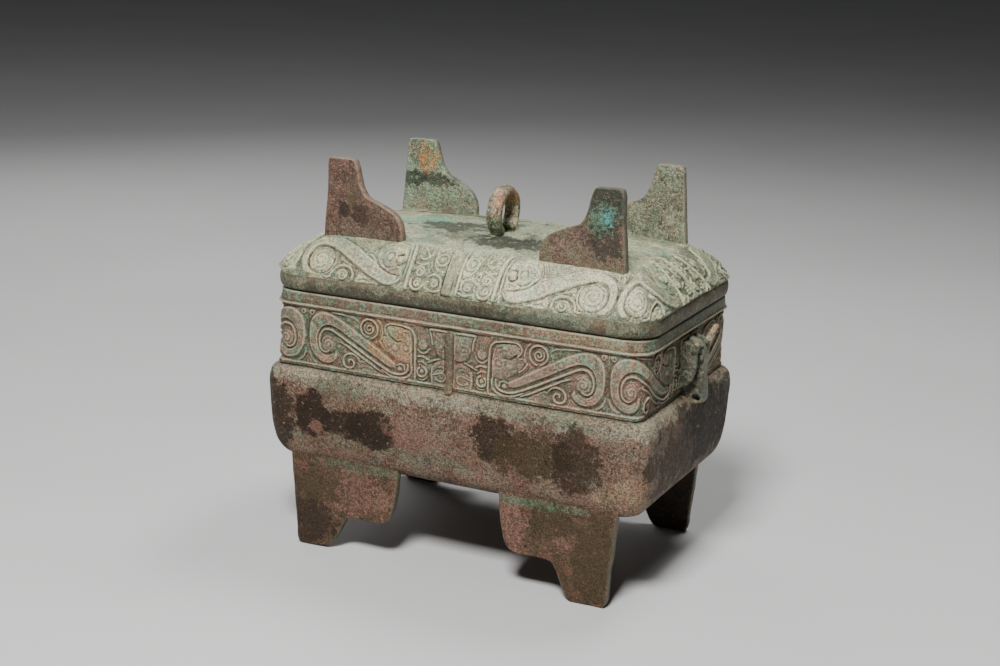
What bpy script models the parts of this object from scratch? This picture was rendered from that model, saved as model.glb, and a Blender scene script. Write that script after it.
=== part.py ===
"""Cast bronze xu food vessel: an oblong vessel on four bracket feet and its lift-off lid.

X runs along the length, Y from the front to the back and Z up. The ground is at Z = 0 and the
origin is the middle of the footprint. Sizes are in metres.
"""

import math

import bmesh
import bpy
import numpy as np
from mathutils import Vector

MM = 0.001

# Main sizes

BODY_HALF_LENGTH = 110.3 * MM
BODY_HALF_DEPTH = 65.9 * MM
FOOT_HEIGHT = 49.8 * MM
BOWL_HEIGHT = 58.1 * MM
FRIEZE_HEIGHT = 32.3 * MM
RIM_HEIGHT = 8.2 * MM
SEAT_GAP = 0.3 * MM
LID_STRIP_HEIGHT = 9.8 * MM
LID_DOME_HEIGHT = 21.7 * MM
WALL = 3.8 * MM
LID_WALL = 3.3 * MM
LIP_DEPTH = 4.5 * MM
LIP_THICKNESS = 2.6 * MM
LIP_CLEARANCE = 0.6 * MM
CUT_PAST = 2.0 * MM

# Heights that follow from them

FRIEZE_FOOT = FOOT_HEIGHT + BOWL_HEIGHT
FRIEZE_TOP = FRIEZE_FOOT + FRIEZE_HEIGHT
RIM_TOP = FRIEZE_TOP + RIM_HEIGHT
LID_SEAT = RIM_TOP + SEAT_GAP
DOME_FOOT = LID_SEAT + LID_STRIP_HEIGHT
LID_TOP = DOME_FOOT + LID_DOME_HEIGHT

# Profiles: the share of the section's height, then how far the outline stands out of the body's
# half length and half depth, and its corner radius, in millimetres

BOWL_PROFILE = (
    (0.000, -12.3, -11.9, 9.0),
    (0.010, -7.3, -6.9, 10.0),
    (0.041, -2.9, -2.5, 10.5),
    (0.090, -0.1, 0.3, 11.0),
    (0.169, 2.0, 2.5, 11.0),
    (0.313, 3.6, 4.3, 11.0),
    (0.658, 4.9, 6.1, 11.0),
    (0.812, 4.9, 6.0, 10.5),
    (0.890, 3.9, 5.1, 9.5),
    (0.936, 1.9, 3.4, 8.0),
    (0.957, -0.1, 1.7, 7.2),
    (0.966, -1.5, 0.3, 6.5),
    (0.974, -0.5, 1.2, 6.5),
    (0.991, -0.5, 1.2, 6.5),
)
BOWL_CAVITY_ROWS = (0, 2, 3, 4, 5, 6, 7, 9)
FRIEZE_PROFILE = (
    (0.000, -1.7, 0.0, 6.5),
    (1.000, 0.0, 0.0, 12.0),
)
RIM_PROFILE = (
    (0.073, 2.0, 2.0, 12.6),
    (0.195, 2.0, 2.0, 13.2),
    (0.268, 1.3, 1.3, 13.5),
    (0.890, 1.8, 1.5, 16.9),
    (1.000, 0.9, 0.6, 16.0),
)
MOUTH_ROW = 2
LID_STRIP_PROFILE = (
    (0.000, 1.0, 0.7, 16.0),
    (0.092, 2.3, 1.8, 16.9),
    (0.388, 3.3, 2.3, 16.8),
    (0.796, 3.4, 2.3, 16.2),
    (0.908, 2.9, 1.9, 16.0),
)
LID_STRIP_CAVITY_ROWS = (2, 3)

# The dome: the share of its height, how far its outline draws in as shares of the body's half
# depth, along the length and the depth, and its corner radius in millimetres

DOME_PROFILE = (
    (0.000, -0.026, -0.014, 15.5),
    (0.161, -0.003, 0.008, 14.8),
    (0.392, 0.062, 0.058, 13.6),
    (0.641, 0.164, 0.135, 12.2),
    (0.866, 0.308, 0.272, 10.5),
    (0.903, 0.399, 0.363, 10.0),
    (0.954, 0.612, 0.575, 9.0),
    (1.000, 0.854, 0.818, 6.0),
)
DOME_BAND_ROWS = 6
CROWN_RISE = 1.7 * MM
CROWN_END_INSET = 15.3 * MM
CROWN_START_SHARE = 0.44
CROWN_FULL_SHARE = 0.81
OUTSIDE_CORNER_STEPS = 4
CAVITY_CORNER_STEPS = 3
LID_LONG_STEPS = 2

# The feet: shares of the foot's width, from its outer edge, and of its height

FOOT_OUTLINE = (
    (0.000, 1.205),
    (0.007, 1.084),
    (0.037, 0.562),
    (0.070, 0.056),
    (0.084, 0.016),
    (0.113, 0.000),
    (0.333, 0.000),
    (0.373, 0.012),
    (0.403, 0.056),
    (0.453, 0.193),
    (0.508, 0.365),
    (0.531, 0.406),
    (0.567, 0.422),
    (0.854, 0.438),
    (0.900, 0.466),
    (0.927, 0.518),
    (0.963, 0.683),
    (0.993, 1.068),
    (1.000, 1.205),
)
FOOT_WIDTH = 69.9 * MM
FOOT_END_INSET = 10.0 * MM
FOOT_STAND_OUT = 0.3 * MM
FOOT_THICKNESS = 5.0 * MM

# The lid's plates: shares of the plate's width, from its outer edge, and of its height

PLATE_OUTLINE = (
    (0.000, -0.113),
    (0.010, 0.000),
    (0.052, 0.518),
    (0.081, 0.941),
    (0.097, 0.984),
    (0.135, 1.000),
    (0.341, 1.000),
    (0.389, 0.986),
    (0.411, 0.941),
    (0.446, 0.793),
    (0.490, 0.644),
    (0.554, 0.545),
    (0.675, 0.486),
    (0.849, 0.403),
    (0.933, 0.329),
    (0.980, 0.216),
    (0.998, 0.045),
    (1.000, -0.113),
)
PLATE_WIDTH = 50.4 * MM
PLATE_HEIGHT = 44.4 * MM
PLATE_FOOT_DROP = 3.2 * MM
PLATE_END_INSET = 19.3 * MM
PLATE_FRONT_INSET = 18.0 * MM
PLATE_THICKNESS = 5.5 * MM

# The ring handle

RING_OFF_MIDDLE = (-0.3 * MM, -5.0 * MM)
RING_RISE = 13.4 * MM
RING_HALF_WIDTH = 11.7 * MM
RING_HALF_HEIGHT = 11.9 * MM
RING_BEND_END = math.radians(-55)
RING_BEND_STEPS = 10
RING_FOOT_SINK = 1.3 * MM
RING_FOOT_DRAW_IN = 0.4 * MM
RING_STOCK_WIDTH = 9.0 * MM
RING_STOCK_THICKNESS = 6.4 * MM
RING_SIDES = 8

# The ribs: how far they stand out of the wall in millimetres, and shares of the frieze's height

BODY_RIB_OUTLINE = (
    (-2.1, 1.012),
    (2.3, 0.999),
    (3.3, 0.950),
    (3.4, 0.034),
    (4.9, -0.046),
    (5.1, -0.115),
    (3.1, -0.164),
    (-2.1, -0.152),
)
BODY_RIB_OFF_MIDDLE = 0.5 * MM
LID_RIB_OFF_MIDDLE = -2.7 * MM
BODY_RIB_HALF_WIDTH = 2.8 * MM
LID_RIB_HALF_WIDTH = 2.5 * MM
LID_RIB_RELIEF = 1.7 * MM
LID_RIB_ROOT = 1.6 * MM

# The beast heads: how far they stand out of the end in millimetres, and shares of the frieze's
# height

HEAD_OUTLINE = (
    (-3.3, 0.920),
    (3.7, 0.932),
    (7.7, 0.882),
    (9.9, 0.746),
    (10.8, 0.498),
    (10.8, 0.282),
    (11.2, 0.133),
    (12.1, 0.010),
    (12.3, -0.080),
    (11.5, -0.160),
    (8.3, -0.220),
    (2.1, -0.270),
    (-3.3, -0.260),
)
HEAD_HALF_WIDTH = 5.0 * MM
HEAD_EDGE_BEVEL = 1.2 * MM
CHEEK_OUTLINE = (
    (-3.3, 0.880),
    (4.4, 0.890),
    (7.8, 0.800),
    (8.8, 0.660),
    (8.7, 0.400),
    (6.6, 0.180),
    (3.7, 0.065),
    (-3.3, 0.034),
)
CHEEK_STAND_OUT = 6.0 * MM
HOLE_MIDDLE = (7.6, -0.093)
HOLE_RADIUS = 2.7 * MM
HOLE_STEPS = 10
HORN_PATH = (
    (3.6, -8.6, 0.620),
    (7.4, -9.6, 0.740),
    (9.8, -11.2, 0.900),
    (11.4, -12.3, 1.080),
)
HORN_RADII = (2.6 * MM, 2.5 * MM, 2.1 * MM, 1.4 * MM)
HORN_SIDES = 5

# The drawing of one dragon, in millimetres from the middle of its side and from the band's foot.
# It is stretched along the band and up it to fit each casting

DRAWING_LENGTH = 172.0 * MM
DRAWING_HEIGHT = 32.3 * MM
BODY_BAND_START = -1.4 * MM
BODY_BAND_SHARE = 1.0
BODY_BAND_SHIFT = 0.0
BODY_BAND_OVERLAP = 5.7 * MM
LID_BAND_START = -0.1 * MM
LID_BAND_SHARE = 0.77
LID_BAND_SHIFT = 5.5 * MM
LID_BAND_OVERLAP = 10.7 * MM
MOST_BEND = math.radians(35)
RELIEF = 1.6 * MM
ROOT = 1.4 * MM
EDGE_DRAFT = 0.3 * MM
VOLUTE_MIDDLE = (79.0, 13.0)
VOLUTE_RISE = 15.3
VOLUTE_FALL = 8.4
VOLUTE_START_RADIUS = 8.2
VOLUTE_END_RADIUS = 5.6
VOLUTE_START = math.radians(100)
VOLUTE_SWEEP = math.radians(-290)
VOLUTE_STEPS = 7
BAND_HALF_WIDTH = 2.4
BAND_PATH = (
    (32.0, 8.3),
    (41.0, 11.4),
    (55.5, 19.1),
    (70.0, 26.8),
)
TAIL_HALF_WIDTH = 0.95
TAIL_PATH = (
    (26.6, 7.6),
    (29.2, 4.0),
    (34.6, 3.2),
    (44.0, 6.7),
    (56.5, 13.6),
    (69.0, 20.6),
    (76.0, 23.2),
    (80.6, 20.6),
    (81.8, 14.8),
    (79.8, 10.0),
    (76.4, 10.2),
)
BROW_HALF_WIDTH = 0.9
BROW_PATH = (
    (22.4, 5.6),
    (22.2, 28.6),
    (25.4, 31.8),
    (38.0, 31.9),
    (41.4, 28.6),
    (40.6, 24.0),
)
SIDE_BOSSES = (
    ((50.6, 27.0), (6.2, 6.2)),
    ((62.5, 6.6), (4.4, 4.4)),
)
FACE_BOSSES = (
    ((29.0, 18.6), (3.2, 3.4)),
)
RIB_BOSSES = (
    ((33.8, 26.2), (5.0, 3.6)),
    ((17.8, 20.8), (3.4, 4.6)),
    ((17.8, 7.4), (3.4, 4.0)),
)
BROAD_BOSS_RADIUS = 5.5
BROAD_BOSS_STEPS = 7
BOSS_STEPS = 5
BOSS_TOP = 0.72

# Surfaces

BRONZE = {
    "vessel": (0.33, 0.25, 0.20, 1.0),
    "lid": (0.40, 0.42, 0.36, 1.0),
}


def clear_scene():
    for item in list(bpy.data.objects):
        bpy.data.objects.remove(item, do_unlink=True)


def add_collection(name, shown):
    collection = bpy.data.collections.new(name)
    collection.hide_render = not shown
    bpy.context.scene.collection.children.link(collection)
    return collection


def add_object(name, bm, collection):
    """Finishes a bmesh as an object, with its faces turned outwards."""
    bmesh.ops.recalc_face_normals(bm, faces=bm.faces)
    mesh = bpy.data.meshes.new(name)
    bm.to_mesh(mesh)
    bm.free()
    item = bpy.data.objects.new(name, mesh)
    collection.objects.link(item)
    return item


def add_helper(name, bm, collection):
    """A shape that is only joined to a piece, or cut from one."""
    item = add_object(name, bm, collection)
    item.hide_render = True
    item.display_type = "WIRE"
    return item


def join(target, name, operation, other):
    modifier = target.modifiers.new(name, "BOOLEAN")
    modifier.operation = operation
    modifier.solver = "EXACT"
    modifier.use_self = True
    modifier.object = other


def mirror(item, across_x, across_y):
    modifier = item.modifiers.new("Mirror", "MIRROR")
    modifier.use_axis = (across_x, across_y, False)
    modifier.use_mirror_merge = False


def section(profile, foot, height):
    """Rows of height, half length, half depth and corner radius for one part of a casting."""
    rows = []
    for share, out_length, out_depth, radius in profile:
        rows.append((
            foot + share * height,
            BODY_HALF_LENGTH + out_length * MM,
            BODY_HALF_DEPTH + out_depth * MM,
            radius * MM,
        ))
    return np.array(rows)


def dome_section():
    """The dome's rows, which draw in as shares of the body's half depth."""
    rows = []
    for share, in_length, in_depth, radius in DOME_PROFILE:
        rows.append((
            DOME_FOOT + share * LID_DOME_HEIGHT,
            BODY_HALF_LENGTH - in_length * BODY_HALF_DEPTH,
            BODY_HALF_DEPTH - in_depth * BODY_HALF_DEPTH,
            radius * MM,
        ))
    return np.array(rows)


def inset(rows, wall):
    """The rows moved in at right angles to the profile, as a wall's inner face."""
    rise = np.gradient(rows[:, 0])
    draw_in = -np.gradient(rows[:, 2])
    slope = np.hypot(rise, draw_in)
    inner = rows.copy()
    inner[:, 0] -= wall * draw_in / slope
    inner[:, 1:] -= (wall * rise / slope)[:, None]
    return inner


def level(height, outline):
    """One row: a plan outline at a height."""
    return np.concatenate([[height], outline])[None, :]


def crown(x, z):
    """The lid's middle rises a little above its ends."""
    start = DOME_FOOT + CROWN_START_SHARE * LID_DOME_HEIGHT
    full = DOME_FOOT + CROWN_FULL_SHARE * LID_DOME_HEIGHT
    share = min(1.0, max(0.0, (z - start) / (full - start)))
    reach = x / (BODY_HALF_LENGTH - CROWN_END_INSET)
    return CROWN_RISE * share * max(0.0, 1 - reach ** 2)


def plan_ring(half_length, half_depth, radius, long_steps, corner_steps):
    """The points of an oblong with rounded corners, turning from the middle of the front."""
    flat_x = half_length - radius
    flat_y = half_depth - radius
    points = []
    for step in range(long_steps):
        points.append((-flat_x + 2 * flat_x * step / long_steps, -half_depth))
    for corner, (sign_x, sign_y) in enumerate(((1, -1), (1, 1), (-1, 1), (-1, -1))):
        for step in range(corner_steps + 1):
            angle = math.pi / 2 * (corner - 1 + step / corner_steps)
            points.append((
                sign_x * flat_x + radius * math.cos(angle),
                sign_y * flat_y + radius * math.sin(angle),
            ))
        if corner == 1:
            for step in range(1, long_steps):
                points.append((flat_x - 2 * flat_x * step / long_steps, half_depth))
    return points[:-1]


def loft(rows, long_steps, corner_steps, crowned):
    """A solid through plan outlines stacked from the lowest to the highest."""
    bm = bmesh.new()
    rings = []
    for z, half_length, half_depth, radius in rows:
        ring = []
        for x, y in plan_ring(half_length, half_depth, radius, long_steps, corner_steps):
            rise = crown(x, z) if crowned else 0.0
            ring.append(bm.verts.new((x, y, z + rise)))
        rings.append(ring)
    for below, above in zip(rings, rings[1:]):
        for index in range(len(below)):
            after = (index + 1) % len(below)
            bm.faces.new((below[index], below[after], above[after], above[index]))
    bm.faces.new(list(reversed(rings[0])))
    bm.faces.new(rings[-1])
    if crowned:
        bmesh.ops.triangulate(bm, faces=bm.faces)
    return bm


def extrude_outline(points, low, high, place):
    """A prism. place turns the outline's two coordinates and a depth into a point."""
    bm = bmesh.new()
    near = [bm.verts.new(place(a, b, low)) for a, b in points]
    far = [bm.verts.new(place(a, b, high)) for a, b in points]
    bm.faces.new(near)
    bm.faces.new(list(reversed(far)))
    for index in range(len(points)):
        after = (index + 1) % len(points)
        bm.faces.new((near[index], near[after], far[after], far[index]))
    return bm


def along_length(a, b, across):
    """An outline in the X and Z plane, given its thickness along Y."""
    return (a, across, b)


def along_depth(a, b, across):
    """An outline in the Y and Z plane, its first number towards the front, thick along X."""
    return (across, -a, b)


def along_depth_behind(a, b, across):
    """The same outline turned half round, so its first number is towards the back."""
    return (-across, a, b)


def sweep(centres, frames, half_sizes, sides):
    """A bar of oval section with capped ends. Each frame is a pair of unit directions."""
    bm = bmesh.new()
    rings = []
    for centre, (across, up), (wide, thick) in zip(centres, frames, half_sizes):
        ring = []
        for side in range(sides):
            angle = 2 * math.pi * (side + 0.5) / sides
            offset = across * (wide * math.cos(angle)) + up * (thick * math.sin(angle))
            ring.append(bm.verts.new(centre + offset))
        rings.append(ring)
    for first, second in zip(rings, rings[1:]):
        for index in range(sides):
            after = (index + 1) % sides
            bm.faces.new((first[index], first[after], second[after], second[index]))
    bm.faces.new(list(reversed(rings[0])))
    bm.faces.new(rings[-1])
    return bm


class Frieze:
    """Turns places on the drawing of a dragon into points on the casting's skin."""

    def __init__(self, rows, start, share, shift, overlap, crowned, rear):
        """rows are the skin's plan outlines. share is how much of their height the band fills."""
        self.rows = rows
        self.shift = shift
        self.overlap = overlap
        self.crowned = crowned
        self.rear = rear
        steps = np.hypot(np.diff(rows[:, 0]), np.diff(rows[:, 2]))
        self.arc = np.concatenate([[0.0], np.cumsum(steps)]) - start
        self.scale = share * steps.sum() / DRAWING_HEIGHT
        half_length, half_depth, radius = rows[0, 1:]
        self.radius = radius
        self.front = half_length - radius
        self.bend_length = math.pi / 2 * radius
        self.side = half_depth - radius
        self.total = self.front + self.bend_length + self.side
        self.stretch = self.total / DRAWING_LENGTH

    def outline(self, arc):
        height = float(np.interp(arc, self.arc, self.rows[:, 0]))
        sizes = [float(np.interp(arc, self.arc, self.rows[:, k])) for k in (1, 2, 3)]
        return height, sizes

    def point(self, along, up, lift):
        """along runs round from the middle of the front, up is the drawing's height, lift out."""
        arc = up * MM * self.scale
        z, (half_length, half_depth, radius) = self.outline(arc)
        ahead, sizes_ahead = self.outline(arc + 0.5 * MM)
        behind, sizes_behind = self.outline(arc - 0.5 * MM)
        rise = ahead - behind
        draw_in = sizes_behind[0] - sizes_ahead[0]
        slope = math.hypot(rise, draw_in)
        if along < self.front:
            x = along / self.front * (half_length - radius)
            y = -half_depth
            normal = (0.0, -1.0)
        elif along < self.front + self.bend_length:
            angle = math.pi / 2 * (along - self.front) / self.bend_length
            normal = (math.sin(angle), -math.cos(angle))
            x = half_length - radius + radius * normal[0]
            y = -(half_depth - radius) + radius * normal[1]
        else:
            x = half_length
            y = -(half_depth - radius) * (self.total - along) / self.side
            normal = (1.0, 0.0)
        if self.crowned:
            z += crown(x, z)
        out = lift * rise / slope
        raised = z + lift * draw_in / slope
        depth = y + normal[1] * out
        return Vector((x + normal[0] * out, -depth if self.rear else depth, raised))

    def bend(self, along):
        """How far the skin has turned round the corner, in radians."""
        return min(math.pi / 2, max(0.0, (along - self.front) / self.radius))

    def front_along(self, place):
        return self.shift + place * MM * self.stretch

    def end_along(self, place):
        """The end's dragons start at the middle of the end and meet the front's."""
        return self.total + self.overlap - place * MM * self.stretch


def refined(frieze, to_along, path):
    """The path, with more stations where it turns round the corner."""
    points = [np.asarray(path[0])]
    for after in path[1:]:
        before = points[-1]
        turn = frieze.bend(to_along(after[0])) - frieze.bend(to_along(before[0]))
        pieces = 1 + int(abs(turn) / MOST_BEND)
        for piece in range(1, pieces + 1):
            points.append(before + (np.asarray(after) - before) * piece / pieces)
    return np.array(points)


def add_ribbon(bm, frieze, to_along, path, half_width):
    """A raised strip with sloping edges along a path on the drawing."""
    path = refined(frieze, to_along, path)
    draft = EDGE_DRAFT / MM
    rings = []
    for index, place in enumerate(path):
        before = path[max(index - 1, 0)]
        after = path[min(index + 1, len(path) - 1)]
        tangent = (after - before) / np.linalg.norm(after - before)
        side = np.array((-tangent[1], tangent[0]))
        corners = (
            (half_width, -ROOT),
            (half_width - draft, RELIEF),
            (-half_width + draft, RELIEF),
            (-half_width, -ROOT),
        )
        ring = []
        for offset, lift in corners:
            a, b = place + side * offset
            ring.append(bm.verts.new(frieze.point(to_along(a), b, lift)))
        rings.append(ring)
    for first, second in zip(rings, rings[1:]):
        for index in range(4):
            after = (index + 1) % 4
            bm.faces.new((first[index], first[after], second[after], second[index]))
    bm.faces.new(list(reversed(rings[0])))
    bm.faces.new(rings[-1])


def add_boss(bm, frieze, to_along, middle, radii):
    """A raised oval with sloping edges."""
    sides = BROAD_BOSS_STEPS if min(radii) > BROAD_BOSS_RADIUS else BOSS_STEPS
    rings = []
    for reach, lift in ((1.0, -ROOT), (BOSS_TOP, RELIEF)):
        ring = []
        for side in range(sides):
            angle = 2 * math.pi * side / sides
            along = to_along(middle[0] + reach * radii[0] * math.cos(angle))
            up = middle[1] + reach * radii[1] * math.sin(angle)
            ring.append(bm.verts.new(frieze.point(along, up, lift)))
        rings.append(ring)
    for index in range(sides):
        after = (index + 1) % sides
        bm.faces.new((rings[0][index], rings[0][after], rings[1][after], rings[1][index]))
    bm.faces.new(list(reversed(rings[0])))
    bm.faces.new(rings[1])


def volute_path():
    """The wide band's slope, then its turn over, round and into the volute."""
    path = list(BAND_PATH)
    for step in range(VOLUTE_STEPS + 1):
        share = step / VOLUTE_STEPS
        angle = VOLUTE_START + VOLUTE_SWEEP * share
        radius = VOLUTE_START_RADIUS + (VOLUTE_END_RADIUS - VOLUTE_START_RADIUS) * share
        rise = VOLUTE_RISE if math.sin(angle) > 0 and share < 0.5 else VOLUTE_FALL
        path.append((
            VOLUTE_MIDDLE[0] + radius * math.cos(angle),
            VOLUTE_MIDDLE[1] + rise * math.sin(angle),
        ))
    return path


def add_dragon(bm, frieze, to_along, bosses):
    """One S-scroll dragon: its band and volute, its tail line, its brow and its bosses."""
    add_ribbon(bm, frieze, to_along, volute_path(), BAND_HALF_WIDTH)
    if not frieze.rear:
        add_ribbon(bm, frieze, to_along, TAIL_PATH, TAIL_HALF_WIDTH)
        add_ribbon(bm, frieze, to_along, BROW_PATH, BROW_HALF_WIDTH)
    for middle, radii in bosses:
        add_boss(bm, frieze, to_along, middle, radii)


def make_carving(name, frieze, collection):
    """Half of the front or the plainer rear of a frieze, mirrored to the other half."""
    bm = bmesh.new()
    face_bosses = () if frieze.rear else FACE_BOSSES
    rib_bosses = () if frieze.rear else RIB_BOSSES
    add_dragon(bm, frieze, frieze.front_along, SIDE_BOSSES + face_bosses + rib_bosses)
    add_dragon(bm, frieze, frieze.end_along, SIDE_BOSSES + face_bosses)
    carving = add_helper(name, bm, collection)
    mirror(carving, True, False)
    return carving


def make_flat(name, outline, width, foot, height, end_inset, front, thickness, collection):
    """Four flat upright shapes, one near each corner. front is how far their faces stand out."""
    outer = BODY_HALF_LENGTH - end_inset
    points = [(outer - share * width, foot + up * height) for share, up in outline]
    bm = extrude_outline(points, -front, -front + thickness, along_length)
    flat = add_helper(name, bm, collection)
    mirror(flat, True, True)
    return flat


def make_feet(collection):
    front = BODY_HALF_DEPTH + FOOT_STAND_OUT
    return make_flat(
        "Feet", FOOT_OUTLINE, FOOT_WIDTH, 0.0, FOOT_HEIGHT, FOOT_END_INSET, front,
        FOOT_THICKNESS, collection,
    )


def make_plates(collection):
    foot = LID_TOP - PLATE_FOOT_DROP
    front = BODY_HALF_DEPTH - PLATE_FRONT_INSET
    return make_flat(
        "Plates", PLATE_OUTLINE, PLATE_WIDTH, foot, PLATE_HEIGHT, PLATE_END_INSET, front,
        PLATE_THICKNESS, collection,
    )


def make_ribs(name, outline, middle, half_width, collection):
    """A rib at the front and the same rib turned half round at the back."""
    ribs = []
    for side, place in (("Front", along_depth), ("Rear", along_depth_behind)):
        bm = extrude_outline(outline, middle - half_width, middle + half_width, place)
        ribs.append(add_helper(side + " " + name + " rib", bm, collection))
    return ribs


def body_rib_outline():
    points = []
    for out, share in BODY_RIB_OUTLINE:
        points.append((BODY_HALF_DEPTH + out * MM, FRIEZE_FOOT + share * FRIEZE_HEIGHT))
    return points


def lid_rib_outline(band):
    """The rib follows the dome's skin: up its outer face, then back down its root."""
    face = inset(band, -LID_RIB_RELIEF)
    root = inset(band, LID_RIB_ROOT)
    points = []
    for z, half_length, half_depth, radius in list(face) + list(root)[::-1]:
        points.append((half_depth, z + crown(LID_RIB_OFF_MIDDLE, z)))
    return points


def make_ring(collection):
    """A round loop whose two limbs stand in the top of the lid."""
    middle = Vector((*RING_OFF_MIDDLE, LID_TOP + RING_RISE))
    across = Vector((1, 0, 0))
    reach = RING_HALF_WIDTH * math.cos(RING_BEND_END) - RING_FOOT_DRAW_IN
    drop = LID_TOP + CROWN_RISE - RING_FOOT_SINK - middle.z
    centres = [middle + Vector((0, reach, drop))]
    frames = [(across, Vector((0, 1, 0)))]
    for step in range(RING_BEND_STEPS + 1):
        angle = RING_BEND_END + (math.pi - 2 * RING_BEND_END) * step / RING_BEND_STEPS
        centres.append(middle + Vector((
            0, RING_HALF_WIDTH * math.cos(angle), RING_HALF_HEIGHT * math.sin(angle)
        )))
        frames.append((across, Vector((0, math.cos(angle), math.sin(angle)))))
    centres.append(middle + Vector((0, -reach, drop)))
    frames.append((across, Vector((0, -1, 0))))
    size = (RING_STOCK_WIDTH / 2, RING_STOCK_THICKNESS / 2)
    bm = sweep(centres, frames, [size] * len(centres), RING_SIDES)
    return add_helper("Ring handle", bm, collection)


def on_end(out, share):
    """A place beyond the body's end, at a share of the frieze's height."""
    return BODY_HALF_LENGTH + out * MM, FRIEZE_FOOT + share * FRIEZE_HEIGHT


def make_heads(collection):
    """The two beast heads: a snout, broader cheeks and a pair of horns."""
    points = [on_end(out, share) for out, share in HEAD_OUTLINE]
    snout_bm = extrude_outline(points, -HEAD_HALF_WIDTH, HEAD_HALF_WIDTH, along_length)
    snout = add_helper("Snout", snout_bm, collection)
    bevel = snout.modifiers.new("Edges", "BEVEL")
    bevel.width = HEAD_EDGE_BEVEL
    bevel.segments = 1
    bevel.limit_method = "ANGLE"
    bevel.angle_limit = math.radians(60)
    mirror(snout, True, False)
    points = [on_end(out, share) for out, share in CHEEK_OUTLINE]
    reach = HEAD_HALF_WIDTH + CHEEK_STAND_OUT
    cheeks = add_helper("Cheeks", extrude_outline(points, -reach, reach, along_length), collection)
    mirror(cheeks, True, False)
    path = []
    for out, y, share in HORN_PATH:
        x, z = on_end(out, share)
        path.append(Vector((x, y * MM, z)))
    frames = []
    for index in range(len(path)):
        along = (path[min(index + 1, len(path) - 1)] - path[max(index - 1, 0)]).normalized()
        across = along.cross(Vector((1, 0, 0))).normalized()
        frames.append((across, along.cross(across)))
    sizes = [(radius, radius) for radius in HORN_RADII]
    horns = add_helper("Horns", sweep(path, frames, sizes, HORN_SIDES), collection)
    mirror(horns, True, True)
    return snout, cheeks, horns


def make_holes(collection):
    """The eye under each curled snout, drilled from side to side."""
    x, z = on_end(*HOLE_MIDDLE)
    outline = []
    for step in range(HOLE_STEPS):
        angle = 2 * math.pi * step / HOLE_STEPS
        outline.append((x + HOLE_RADIUS * math.cos(angle), z + HOLE_RADIUS * math.sin(angle)))
    bm = extrude_outline(outline, -2 * HEAD_HALF_WIDTH, 2 * HEAD_HALF_WIDTH, along_length)
    holes = add_helper("Holes", bm, collection)
    mirror(holes, True, False)
    return holes


def add_material(item):
    material = bpy.data.materials.new(item.name + " bronze")
    material.use_nodes = True
    shader = material.node_tree.nodes["Principled BSDF"]
    shader.inputs["Base Color"].default_value = BRONZE[item.name]
    shader.inputs["Metallic"].default_value = 0.35
    shader.inputs["Roughness"].default_value = 0.6
    item.data.materials.append(material)


def mouth_outline(rim):
    """The plan outline of the vessel's mouth, inside the rim's wall."""
    return rim[MOUTH_ROW, 1:] - WALL


def make_vessel(shown, helpers):
    bowl = section(BOWL_PROFILE, FOOT_HEIGHT, BOWL_HEIGHT)
    band = section(FRIEZE_PROFILE, FRIEZE_FOOT, FRIEZE_HEIGHT)
    rim = section(RIM_PROFILE, FRIEZE_TOP, RIM_HEIGHT)
    outside = np.concatenate([bowl, band, rim])
    vessel = add_object("vessel", loft(outside, 1, OUTSIDE_CORNER_STEPS, False), shown)
    join(vessel, "Feet", "UNION", make_feet(helpers))
    for piece in make_heads(helpers):
        join(vessel, piece.name, "UNION", piece)
    join(vessel, "Holes", "DIFFERENCE", make_holes(helpers))
    outline = body_rib_outline()
    for rib in make_ribs("vessel", outline, BODY_RIB_OFF_MIDDLE, BODY_RIB_HALF_WIDTH, helpers):
        join(vessel, rib.name, "UNION", rib)
    for name, rear in (("Front carving", False), ("Rear carving", True)):
        frieze = Frieze(
            band, BODY_BAND_START, BODY_BAND_SHARE, BODY_BAND_SHIFT, BODY_BAND_OVERLAP,
            False, rear,
        )
        join(vessel, name, "UNION", make_carving("Vessel " + name, frieze, helpers))
    hollow = np.concatenate([
        inset(np.concatenate([bowl[list(BOWL_CAVITY_ROWS)], band]), WALL),
        level(rim[MOUTH_ROW, 0], mouth_outline(rim)),
        level(RIM_TOP + CUT_PAST, mouth_outline(rim)),
    ])
    cavity = loft(hollow, 1, CAVITY_CORNER_STEPS, False)
    join(vessel, "Cavity", "DIFFERENCE", add_helper("Vessel cavity", cavity, helpers))
    add_material(vessel)


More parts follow.
